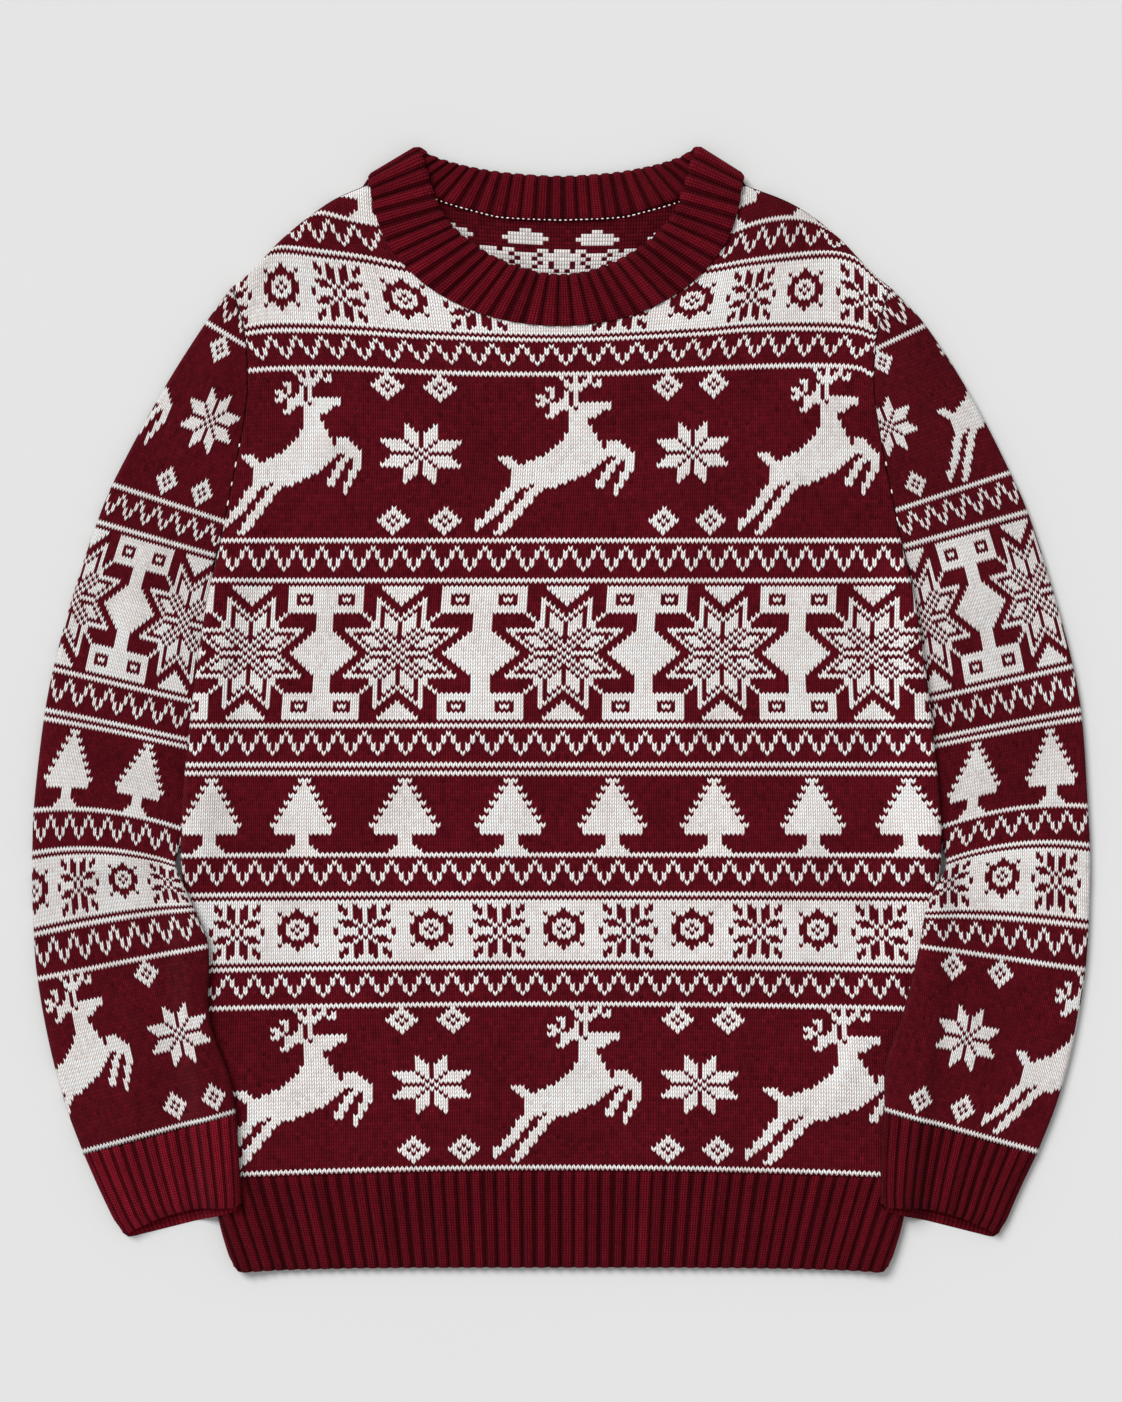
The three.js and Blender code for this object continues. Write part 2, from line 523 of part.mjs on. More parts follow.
function collar() {
  const mirrored = COLLAR_BAND.slice(1, -1).reverse().map((row) => ({
    ...row,
    sewnX: -row.sewnX,
    freeX: -row.freeX,
  }));
  const around = [...COLLAR_BAND, ...mirrored];
  const curve = (edge) => new THREE.CatmullRomCurve3(
    around.map((row) => new THREE.Vector3(row[`${edge}X`], row[`${edge}Y`], row[`${edge}Z`])),
    true,
    'catmullrom',
    0.5,
  );
  const sewn = curve('sewn');
  const free = curve('free');
  const count = COLLAR_RIBS * POINTS_PER_RIB;
  const samples = Array.from({ length: 1201 }, (_, i) => i / 1200);
  const lengths = [0];
  for (let i = 1; i < samples.length; i += 1) {
    const middle = (t) => sewn.getPoint(t).lerp(free.getPoint(t), 0.5);
    lengths.push(lengths[i - 1] + middle(samples[i]).distanceTo(middle(samples[i - 1])));
  }
  const total = lengths[lengths.length - 1];
  const stations = Array.from({ length: count }, (_, k) => {
    const wanted = (total * (k + 0.5)) / count;
    const i = lengths.findIndex((length) => length >= wanted);
    return mix(samples[i - 1], samples[i], (wanted - lengths[i - 1]) / (lengths[i] - lengths[i - 1]));
  });
  const frames = stations.map((t, k) => {
    const step = 0.002;
    const middle = (at) => sewn.getPoint((at + 1) % 1).lerp(free.getPoint((at + 1) % 1), 0.5);
    const tangent = middle(t + step).sub(middle(t - step)).normalize();
    const across = free.getPoint(t).sub(sewn.getPoint(t));
    const normal = tangent.clone().cross(across).normalize();
    const raised = COLLAR_RIB_HEIGHT * (0.5 + 0.5 * Math.cos((2 * Math.PI * k) / POINTS_PER_RIB));
    return { start: sewn.getPoint(t), across, normal, raised };
  });
  const face = (outward) => [0, 0.5, 1].map((share) => frames.map(({ start, across, normal, raised }) => {
    const up = outward ? rising(-0.35, 0.25, normal.z) : falling(-0.25, 0.35, normal.z);
    const height = COLLAR_HALF_WALL + raised * up;
    const point = start.clone().addScaledVector(across, share);
    return point.addScaledVector(normal, outward ? height : -height).toArray();
  }));
  return solid('collar', RIB_WINE, face(true), face(false), true);
}

const group = new THREE.Group();
group.name = 'sweater';
group.add(front, back);
group.add(sleeve('sleeve_left', -1, LEFT_SLEEVE, LEFT_CAP, SLEEVE_FOLDS));
group.add(sleeve('sleeve_right', 1, RIGHT_SLEEVE, RIGHT_CAP, SLEEVE_FOLDS));
group.add(cuff('cuff_left', -1, LEFT_CUFF));
group.add(cuff('cuff_right', 1, RIGHT_CUFF));
group.add(hemRib());
group.add(collar());

export default group;
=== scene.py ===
"""A jacquard crew-neck sweater laid flat: knitted body, sleeves, ribbing, linking stitches and the studio.

Lengths in the shape code are millimetres, as in the solids, and turn into metres when a mesh is made.
"""

import math

import bpy
import numpy as np
from bpy.props import FloatProperty, FloatVectorProperty, PointerProperty
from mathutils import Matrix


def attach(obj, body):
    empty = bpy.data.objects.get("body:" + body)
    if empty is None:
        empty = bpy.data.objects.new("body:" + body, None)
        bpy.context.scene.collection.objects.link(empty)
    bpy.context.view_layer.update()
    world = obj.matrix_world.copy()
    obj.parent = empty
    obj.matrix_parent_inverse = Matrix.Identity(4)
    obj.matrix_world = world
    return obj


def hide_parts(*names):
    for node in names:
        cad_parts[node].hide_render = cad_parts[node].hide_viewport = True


bl_info = {
    "name": "Laid sweater",
    "version": (1, 0, 0),
    "blender": (4, 5, 0),
    "location": "3D View > Sidebar > Sweater",
    "description": "Builds a patterned knitted sweater laid flat on a pale table",
    "category": "Object",
}

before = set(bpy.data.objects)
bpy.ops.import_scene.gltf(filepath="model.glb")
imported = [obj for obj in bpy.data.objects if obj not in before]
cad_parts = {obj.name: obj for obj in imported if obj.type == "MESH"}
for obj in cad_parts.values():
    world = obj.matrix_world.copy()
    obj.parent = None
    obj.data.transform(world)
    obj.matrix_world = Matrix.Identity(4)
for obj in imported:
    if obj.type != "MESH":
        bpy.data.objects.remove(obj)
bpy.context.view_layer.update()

QUARTER = math.pi / 2
SEEDS = {"front": 3, "back": 5, "hem": 15, "collar": 17}

# Cloth and body, as in the solids
HEM_SEAM_Y = -297.6
HEM_SEAM_DROP = 5.4
BODY_THICKNESS = 6.6
SIDE_ROLL = 4.2
SHOULDER_Y = 275.0
SHOULDER_ROLL = 3.3
SHOULDER_SLANT = 1.25
UNDERARM_Y = 105.0
NECK_CORNER_X = 126.5
TURN_IN = 2.0
FULLNESS_REACH = 30
ARMHOLE_DIP = 0.6
DIP_END = (232, 262)

# How far the tucked sleeve holds the body off the table, the heights where that starts and ends, and its reach inward
LIFT = 6.5
LIFT_FROM = (-122, -88)
LIFT_TO = (84, 104)
LIFT_REACH = (11, 38)
# Heights between which the forearm comes to lie over the body
OVER_BODY = (-110, -88)

SIDE_WIDTHS = [
    (-366, 212), (-328, 222.5), (-220, 236), (-95, 246), (-25, 242), (60, 231),
    (130, 216.5), (190, 205), (215, 203), (245, 205), (275, 213),
]
SHOULDER_LINE = [(126.5, 341), (150, 330), (180, 307), (202, 284), (213, 275)]
FRONT_NECK = [
    (0, 251.4), (44.8, 257.4), (82.6, 275), (107.8, 300.2), (117.6, 322.6), (121, 337), (126.5, 341),
]
BACK_NECK = [(0, 319), (40, 321.2), (81.8, 332.6), (114.5, 341.5), (126.5, 341.5)]
RIGHT_NARROWING = 0.055

# Knitted rows of the body: height at the centre, and how far the upper rows ride up or down towards the sides
ROW_HEIGHTS = [
    (-3, -303.6), (0, -296), (43, -190.1), (53, -166.1), (72, -118.8), (82, -93.5), (104, -40.6),
    (106, -35), (116, -9.8), (154, 84.3), (164, 110.2), (207, 218.1), (217, 240.2), (236, 280.5),
    (246, 305.8), (272, 372),
]
ROW_SWING = {
    207: [(-205, 2), (-188, 3.3), (-158, 3.9), (-128, 3.3), (-92, 1.3), (-40, 0), (40, 0.6), (90, 3.3),
          (139, 5.2), (180, 5.2), (195, 3.3), (200, 0)],
    217: [(-211, 2.3), (-203, 4.2), (-188, 5.9), (-158, 5.9), (-128, 4.6), (-92, 2.3), (0, 0), (90, 3.9),
          (120, 6.5), (150, 7.2), (180, 6.5), (195, 4.6), (201, 2)],
    236: [(-207, 6.5), (-198, 16.3), (-188, 19.5), (-178, 20.2), (-158, 17.6), (-128, 13.7), (-92, 6.5),
          (0, 0), (90, 5.9), (120, 11), (150, 15), (174, 16.9), (186, 15), (195, 10.4), (212, -6.5)],
    246: [(-210, -4), (-190, 8), (-169, 14.3), (-156, 16.9), (-139, 13), (-113, 8.5), (0, 0), (105, 3.3),
          (128, 10.7), (146, 13.7), (160, 12.4), (171, 7.8), (190, -2), (210, -12)],
}
BODY_ROWS = 268
BODY_COLUMNS = 169
FIRST_COLUMN = -(BODY_COLUMNS // 2)
COLUMN_PLACES = {
    22: [(-84.5, -258), (-74, -225.2), (-41, -122), (-37, -109), (-20, -58.4), (-15, -44), (18, 52.1),
         (22, 65), (39, 114.5), (43, 124.5), (67, 203), (73, 219), (84.5, 247)],
    62: [(-84.5, -252), (-69.5, -209.8), (-55, -169.4), (-41.5, -126.6), (-27, -82.5), (-13.5, -39.4),
         (1, 3.4), (14.5, 44), (29, 86.5), (42.5, 128.8), (57, 167.8), (70.5, 207.8), (84.5, 252)],
    92: [(-84.5, -249), (-76.5, -226.9), (-54.5, -167.8), (-32.5, -101.5), (-10.5, -32.7), (11.5, 33.1),
         (33.5, 99.5), (55.5, 163.7), (77.5, 225), (84.5, 249)],
    135: [(-84.5, -246), (-69.5, -201.7), (-34.5, -105.5), (0.5, 2), (35.5, 104.1), (70.5, 201.1),
          (84.5, 246)],
    185: [(-84.5, -238), (-78, -217.9), (-45, -129.1), (-41, -116.9), (-24, -64.4), (-19.5, -51.4),
          (13.5, 49.4), (17.5, 61), (34.5, 107.1), (38, 116.6), (71, 206.5), (84.5, 245)],
}
UPPER_FROM = 208
UPPER_SHIFT = 5
UPPER_PLACES = [(-84.5, -247.3), (-77, -229.5), (-55, -170), (-33, -102.7), (-11, -34.4), (0, 0), (11, 32.2),
                (33, 99), (55, 159.5), (77, 225), (84.5, 247.3)]
NECK_STRETCH = [(0, 0), (200, 0), (217, 0.05), (227, 0.095), (236, 0.15), (246, 0.21), (270, 0.24)]
NECK_SHIFT = -6.3

# Soft folds: ridges, or troughs where the height is negative, each along a line through its middle.
# A row is the middle's x and y, the line's turn in degrees, its reach either way, the width and the height.
BODY_FOLDS = [
    (-48, -235, 92, 62, 13, 1.7), (118, -228, 84, 55, 15, 1.5), (30, -246, 97, 44, 10, -1.1),
    (-126, -228, 70, 48, 11, -1.2), (188, -226, 64, 46, 9, 1.8), (172, -236, 70, 40, 8, -1.4),
    (-150, 175, 62, 60, 14, 1.7), (152, 168, 118, 58, 14, 1.7), (-172, 128, 48, 44, 8, -1.5),
    (176, 124, 133, 46, 8, -1.5), (-195, -20, 83, 90, 12, 1.4), (194, -30, 97, 85, 12, 1.4),
    (20, 60, 8, 95, 17, 1.0), (-92, 216, 24, 48, 10, 0.9), (96, 214, 158, 48, 10, 0.9),
]
SLEEVE_FOLDS = [
    (-292, -100, 8, 44, 9, 2.4), (-288, -168, -28, 38, 8, -2.2), (-272, -196, -48, 34, 8, 2.2),
    (-243, -186, -68, 44, 6, 2.0), (-231, -196, -70, 40, 5, -2.0), (-262, -238, -60, 36, 8, -1.5),
    (-276, 60, 74, 60, 11, 1.8), (-258, 92, 60, 46, 8, -1.6), (-236, 178, 58, 40, 8, 1.3),
    (290, -98, -6, 42, 9, 2.4), (282, -172, 34, 40, 8, -2.2), (262, -200, 62, 36, 9, 2.2),
    (240, -206, 78, 46, 6, 2.2), (229, -212, 80, 42, 5, -2.2), (258, -246, 62, 34, 8, -1.6),
    (272, 58, 106, 60, 11, 1.8), (252, 94, 122, 46, 8, -1.6), (240, 176, 121, 40, 8, 1.3),
]

# Sleeves: outline of the outer fold and of the inner one by height, and the heights of the knitted rows on both
SLEEVE_THICKNESS = 8.2
OUTER_ROLL = 3.6
SLEEVE_PITCH = [(0, 2.18), (20, 2.3), (43, 2.29), (62, 2.08), (81, 2.08), (103, 2.2), (116, 2.2),
                (134, 2.08), (153, 2.0), (219, 2.0)]
RIGHT_PITCH = [(0, 2.18), (20, 2.3), (43, 2.42), (62, 2.5), (81, 2.4), (103, 2.2), (116, 2.2), (134, 2.08),
               (153, 2.0), (219, 2.0)]
SLEEVES = {
    "left": {
        "side": -1,
        "outline": [(-287.5, 309.8), (-256, 321.5), (-214, 332.5), (-169, 340.3), (-141, 342.2), (-115.5, 343.2),
                    (-89, 343), (-62, 342), (-5, 335.5), (29, 329), (77, 316), (129, 298.5), (154, 287.5),
                    (210, 257), (251, 231), (275, 213.5)],
        "inner": [(-260, 210.5), (-238, 214), (-200, 227), (-152, 228), (-131.5, 235.5), (-113, 243.5),
                  (-98, 249.5), (-78, 243), (-26, 234), (5, 229.5), (54, 224.5), (94, 225.2), (106, 222.4)],
        "outer_rows": [(-1, -288.6), (0, -286), (43, -173.9), (53, -145.3), (72, -92.6), (82, -64.7), (104, -4.9),
                       (116, 27), (154, 122.5), (164, 146.6), (207, 251.9), (219, 275)],
        "inner_rows": [(-1, -261.4), (0, -258.9), (43, -152.1), (53, -128.4), (62, -114), (72, -99), (82, -77.7),
                       (104, -25.7), (116, 3.6), (154, 100.4), (164, 122.5), (207, 236.3), (219, 274.6)],
        "cuff": [(0, 310, -287, 210.5, -260), (0.5, 298.5, -313, 208, -293), (1, 284, -343, 206.5, -323.5)],
        # Painted light: this cuff's colour is brightened, as if it caught more of the light from the left.
        "pitch": SLEEVE_PITCH, "seeds": (7, 11), "cuff_painted_light": 1.4,
        "tree": 10, "big_star": 36, "snowflake": 15, "facing": 1,
        "fields": [(0, [-10], [37], [(31, 39), (31, 5), (43, 5)]),
                   (164, [-23], [23], [(17, 39), (17, 5), (29, 5)])],
    },
    "right": {
        "side": 1,
        "outline": [(-287.5, 308.8), (-255, 321.5), (-217, 332), (-174, 339.5), (-146, 342), (-118.5, 343),
                    (-92.5, 343.3), (-64.5, 342), (-5, 338), (27.5, 332.5), (75, 320), (124, 304.5),
                    (147, 295), (204, 266), (252, 235), (275, 213.5)],
        "inner": [(-258.5, 209), (-228.5, 210), (-196, 221), (-151, 232), (-128, 236), (-112.5, 243),
                  (-98, 249.5), (-78, 243), (-27, 234), (2, 229), (50, 224.5), (92, 225.2), (106, 222.4)],
        "outer_rows": [(-1, -288.6), (0, -286), (43, -168), (53, -140), (72, -87.4), (82, -62), (104, -4.9),
                       (116, 28.9), (154, 129), (164, 154.4), (207, 249.9), (219, 275)],
        "inner_rows": [(-1, -260.1), (0, -257.6), (43, -152.1), (53, -132.9), (62, -115), (72, -97), (82, -77),
                       (104, -25), (116, 4.9), (154, 106.3), (164, 129.7), (207, 234.3), (219, 274.6)],
        "cuff": [(0, 309, -287, 209, -258.5), (0.5, 296.5, -313.5, 207, -292), (1, 284, -343, 206.5, -323.5)],
        # Painted light: this cuff's colour is darkened, as if it lay further from the light on the left.
        "pitch": RIGHT_PITCH, "seeds": (9, 13), "cuff_painted_light": 0.89,
        "tree": 10, "big_star": 41, "snowflake": 9, "facing": -1,
        "fields": [(0, [19], [30], [(36, 39), (23, 39), (39, 5), (26, 5)]),
                   (164, [20], [33], [(27, 39), (31, 5)])],
    },
}
SLEEVE_LEAN = [(0, 0), (160, 0), (186, 3.7), (203, 7.7), (219, 12)]
SLEEVE_ROWS = 219
SLEEVE_COLUMNS = 54
ARM_GAP = 0.25
ELBOW_BOW = 6

# Ribbing
# Length that a quarter turn has over its reach, in radii
ROLL_GAIN = 0.571
PER_RIB = 15
RIB_SHADE = 0.05
HEM_TONE = 0.87
# Painted shade that darkens the insides seen at the neck and in the cuffs' open ends
INSIDE_PAINTED_SHADE = 0.8
HEM_BOTTOM_Y = -361.0
HEM_BOTTOM_DROP = 3.3
HEM_THICKNESS = 6.0
HEM_RIBS = 54
CUFF_THICKNESS = 6.4
CUFF_ROLL = 3.3
CUFF_RIBS = 13
CUFF_LIP = 8.5
CUFF_WALL = 2.0
COLLAR_HALF_WALL = 1.5
COLLAR_RIBS = 60
COLLAR_BAND = [
    ((0, 249.2, 6), (0, 282, 8.6)), ((46, 255.4, 6), (27, 286.5, 8.7)), ((84.6, 273.6, 6), (53, 299, 9)),
    ((110.4, 299.5, 6.3), (72.5, 315.5, 9.4)), ((120.4, 322.3, 7.4), (82, 332, 9.8)),
    ((123.4, 338.4, 8.2), (88.5, 353, 9.8)), ((124, 345, 5.4), (92, 364, 6.6)),
    ((115, 341.6, 2.5), (82, 359, 3)), ((82, 331.7, 2.3), (62, 353, 3.1)),
    ((40, 320.4, 2.3), (34, 348.3, 3.3)), ((0, 318.2, 2.3), (0, 346.3, 3.3)),
]

# Knitting charts. Columns and rows are counted from each motif's middle or first corner.
LINE_ROWS = (0, 43, 53, 72, 82, 104, 106, 116, 154, 164, 207, 217, 236, 246)
ZIGZAG_FEET = (44, 73, 107, 155, 208, 237)
TREE_WIDTHS = (3, 1, 5, 3, 7, 5, 9, 7, 11, 9, 13, 11, 15, 13, 13, 3, 3, 3, 5, 7)
SNOWFLAKE_ROWS = ((2, 5), (1, 2, 4, 5), (1, 2, 4), (1, 2), (1, 3, 4, 5), (0, 2, 3, 4), (1, 6))
ROSETTE_ROWS = ((1, 3, 4), (0, 3, 4), (2, 3), (0, 1, 2, 3), (0, 1, 4), (0,))
SMALL_STAR_ROWS = (
    (1,), (0, 2, 3, 4, 5, 6), (1, 3, 4, 5, 6, 7), (1, 2, 4, 5, 6, 7, 8), (1, 2, 3), (1, 2, 3), (2, 3), (3,),
)
FLAKE_BANDS = (55, 219)
TREE_BANDS = (83, 247)
BIG_STAR_ROW = 135
FLAKE_REPEAT = 28
TREE_REPEAT = 22
BIG_STAR_REPEAT = 35
FIELD_ROWS = 42
# A deer field is the row below it, the columns of its deer's feet and small stars, and the places of its diamonds
BODY_CHART = {
    "tree": 11, "big_star": 0, "snowflake": 14, "facing": 1,
    "fields": [
        (0, [-74, -15, 41], [-29, 30],
         [(-35, 39), (-24, 39), (-33, 5), (-22, 5), (25, 39), (36, 39), (23, 5), (34, 5)]),
        (164, [-78, -20, 38], [-33, 26],
         [(-40, 39), (-29, 39), (-38, 5), (-27, 5), (20, 39), (31, 39), (20, 5), (31, 5)]),
    ],
}
INSIDE_TOP = 248
INSIDE_HEIGHT = 2.0
INSIDE_NARROWING = 0.9935
INSIDE_FROM = 200
INSIDE_REACH = 60
CLUSTER_ROWS = ((0,), (0, 1, 2), (0, 1, 2, 3), (0, 1, 2), ())
SPECKLE_ROWS = (
    (0, 1, 4), (2,), (1,), (2, 4), (1, 4), (0, 5), (0, 1, 3), (0, 3, 5), (1, 5), (0, 3), (2,), (),
)
DEER_ROWS = {
    42: "17 20 23", 41: "18 20 22-23 25", 40: "18-22 24-25", 39: "14-15 19-21", 38: "15 18 20",
    37: "12-13 15 18 20", 36: "13-14 17-18 20", 35: "12-13 15-18 20-27", 34: "15-19 21-27",
    33: "15-16 19-25", 32: "14-15 19-24", 31: "19-22", 30: "19-22", 29: "19-23", 28: "19-23", 27: "18-24",
    26: "18-24", 25: "17-25 27-29", 24: "16-25 27-30", 23: "15-31", 22: "14-32", 21: "4-6 12-26 29-32",
    20: "5-7 10-25 28-29 31-32", 19: "6-24 27-28 31-32", 18: "7-23 27-28 31-32", 17: "7-22 26-27 30-31",
    16: "7-20 26-27 30-31", 15: "7-18 25-26 30", 14: "7-10 12-16 25-26 29-30", 13: "6-8 11-13 29",
    12: "5-7 10-12 29", 11: "5-7 10-11", 10: "4-6 9-11", 9: "4-5 8-10", 8: "3-5 8-9", 7: "2-4 7-9",
    6: "2-3 6-8", 5: "0-2 6-7", 4: "0-1 5-7", 3: "0 5-6", 2: "4-5",
}


def spread(text):
    """Columns named by a chart row such as "4-6 12"."""
    columns = set()
    for part in text.split():
        first, _, last = part.partition("-")
        columns.update(range(int(first), int(last or first) + 1))
    return columns


DEER = {row: spread(text) for row, text in DEER_ROWS.items()}


def through(rows):
    """A smooth curve through rows of (key, value)."""
    keys = np.array([row[0] for row in rows], float)
    values = np.array([row[1] for row in rows], float)
    order = np.arange(len(keys))
    before = np.maximum(order - 1, 0)
    after = np.minimum(order + 1, len(keys) - 1)
    slopes = (values[after] - values[before]) / (keys[after] - keys[before])

    def at(place):
        k = np.clip(place, keys[0], keys[-1])
        i = np.clip(np.searchsorted(keys, k) - 1, 0, len(keys) - 2)
        span = keys[i + 1] - keys[i]
        t = (k - keys[i]) / span
        rise = values[i + 1] - values[i]
        bend = (slopes[i] * span - rise) * (1 - t) - (slopes[i + 1] * span - rise) * t
        return values[i] + rise * t + t * (1 - t) * bend

    return at


def rising(low, high, value):
    """A smooth step from 0 at low to 1 at high."""
    t = np.clip((value - low) / (high - low), 0, 1)
    return t * t * (3 - 2 * t)


def falling(low, high, value):
    return 1 - rising(low, high, value)


def mix(a, b, t):
    return a + (b - a) * t


half_width = through(SIDE_WIDTHS)
shoulder_y = through(SHOULDER_LINE)
row_height = through(ROW_HEIGHTS)
row_swing = {row: through(points) for row, points in ROW_SWING.items()}
column_places = {row: through(places) for row, places in COLUMN_PLACES.items()}
upper_place = through(UPPER_PLACES)
neck_stretch = through(NECK_STRETCH)


def side_at(y):
    return half_width(np.minimum(y, SHOULDER_Y))


def fold_height(folds, x, y):
    """Height that a list of folds adds at a point."""
    total = np.zeros(np.broadcast(x, y).shape)
    for fold_x, fold_y, turn, reach, width, height in folds:
        turn = math.radians(turn)
        along = (x - fold_x) * math.cos(turn) + (y - fold_y) * math.sin(turn)
        across = (y - fold_y) * math.cos(turn) - (x - fold_x) * math.sin(turn)
        ends = np.maximum(0, 1 - (along / reach) ** 2)
        total = total + height * ends**2 * np.exp(-((across / width) ** 2))
    return total


def body_lift(x, y):
    """How far the tucked sleeve holds the body off the table."""
    inward = side_at(y) - np.abs(x)
    return LIFT * falling(*LIFT_TO, y) * rising(*LIFT_FROM, y) * falling(*LIFT_REACH, inward)


def armhole_share(y):
    return rising(UNDERARM_Y, UNDERARM_Y + 20, y)


def front_top(x, y):
    """Top of the front panel, before its edges turn down."""
    inward = side_at(y) - np.abs(x)
    armhole = armhole_share(y)
    fullness = (2 * SIDE_ROLL - BODY_THICKNESS) * falling(SIDE_ROLL, FULLNESS_REACH, inward) * (1 - armhole)
    dip = ARMHOLE_DIP * falling(0, 22, inward) * armhole * falling(*DIP_END, y)
    folds = fold_height(BODY_FOLDS, x, y) * rising(4, 26, inward)
    return BODY_THICKNESS + fullness - dip + body_lift(x, y) + folds


def rest_height(x, y):
    """Height of what a sleeve rests on: the table, or the body's side where the forearm lies over it."""
    beyond = np.abs(x) - side_at(y)
    bead = np.minimum(np.abs(x), side_at(y) - SIDE_ROLL)
    level = front_top(bead, np.maximum(y, -290)) + 0.9 * falling(-297, -290, y) + 1
    return level * falling(*OVER_BODY, y) * falling(-3, 16, beyond)


def hem_seam_y(x):
    return HEM_SEAM_Y - HEM_SEAM_DROP * (x / side_at(HEM_SEAM_Y)) ** 2


def swing_at(row, x):
    """How far a row of the body stands above its height at the centre."""
    stops = [(164, lambda at: 0 * at)] + [(key, row_swing[key]) for key in sorted(row_swing)]
    total = stops[0][1](x)
    for (low, first), (high, last) in zip(stops, stops[1:]):
        share = np.clip((row - low) / (high - low), 0, 1)
        total = total + share * (last(x) - first(x))
    droop = HEM_SEAM_DROP * (x / side_at(HEM_SEAM_Y)) ** 2 * falling(0, 95, row)
    return total - droop


# Charts


def is_zigzag(row, column):
    for foot in ZIGZAG_FEET:
        if foot <= row <= foot + 8:
            down = foot + 8 - row
            k = abs((column + 3) % 6 - 3)
            return (down, k) in ((1, 0), (2, 1), (3, 1), (4, 2), (5, 2), (6, 3))
    return False


def in_snowflake(k, row):
    """Wine stitches of the snowflake, with row from 0 to 15 over the white band."""
    if not 1 <= row <= 14:
        return False
    step = row - 1 if row <= 7 else 14 - row
    return k in SNOWFLAKE_ROWS[step]


def in_rosette(column, row):
    k, j = abs(column), abs(row - 8)
    return j <= 5 and k in ROSETTE_ROWS[j]


def in_big_star(k, j):
    """White stitches of the eight-pointed star's band, k columns and j rows from the star's middle."""
    if k >= 9 and j >= 11:
        return not (11 <= k <= 14 and 13 <= j <= 15) or (k in (12, 13) and j == 14)
    return any((
        k >= 16,
        j <= 5 and k >= 10 + j,
        j >= 13 and k <= j - 13,
        k == 5 and 7 <= j <= 14,
        9 <= j <= 13 and k == j - 9,
        1 <= k <= 3 and k + 4 <= j <= k + 7,
        j == 6 and 6 <= k <= 12,
        1 <= j <= 5 and k == j + 6,
        j == 0 and 2 <= k <= 6,
        2 <= j <= 4 and j + 2 <= k <= j + 4,
        (k, j) in ((8, 10), (7, 9), (6, 8), (6, 7)),
        k <= 5 and j <= 6 and j - 3 <= k <= j + 1 and (k + j) % 2 == 0,
    ))


def in_small_star(k, j):
    return j <= 7 and k in SMALL_STAR_ROWS[j]


def in_diamond(k, j):
    return k + j <= 3 and (k, j) not in ((0, 1), (1, 0))


def in_deer(column, row):
    return column in DEER.get(row, ())


def in_tree(k, row):
    return 0 <= row < 20 and k <= (TREE_WIDTHS[19 - row] - 1) // 2


def off_centre(column, centre, repeat):
    """Columns from the nearest motif of a repeat, one of which is at the centre."""
    half = repeat // 2
    return (column - centre + half) % repeat - half


def is_white(chart, column, row):
    """Colour of one stitch, by its column and its row from the hem or the cuff."""
    if row in LINE_ROWS or is_zigzag(row, column):
        return True
    flake = chart["snowflake"]
    for foot in FLAKE_BANDS:
        if foot <= row <= foot + 15:
            rose = off_centre(column, flake + FLAKE_REPEAT // 2, FLAKE_REPEAT)
            return not (in_snowflake(abs(off_centre(column, flake, FLAKE_REPEAT)), row - foot)
                        or in_rosette(rose, row - foot))
    for foot in TREE_BANDS:
        if foot <= row < foot + len(TREE_WIDTHS):
            return in_tree(abs(off_centre(column, chart["tree"], TREE_REPEAT)), row - foot)
    if abs(row - BIG_STAR_ROW) <= BIG_STAR_REPEAT // 2:
        return in_big_star(abs(off_centre(column, chart["big_star"], BIG_STAR_REPEAT)), abs(row - BIG_STAR_ROW))
    for base, feet, stars, diamonds in chart["fields"]:
        up = row - base
        if 0 < up <= FIELD_ROWS:
            return (any(in_deer(chart["facing"] * (column - foot), up) for foot in feet)
                    or any(in_small_star(abs(column - star), abs(up - 22)) for star in stars)
                    or any(in_diamond(abs(column - k), abs(up - j)) for k, j in diamonds))
    return False


def body_is_white(column, row):
    """Colour of one stitch of the body, whose columns are counted from the centre."""
    return is_white(BODY_CHART, column + (UPPER_SHIFT if row >= UPPER_FROM else 0), row)


# Meshes


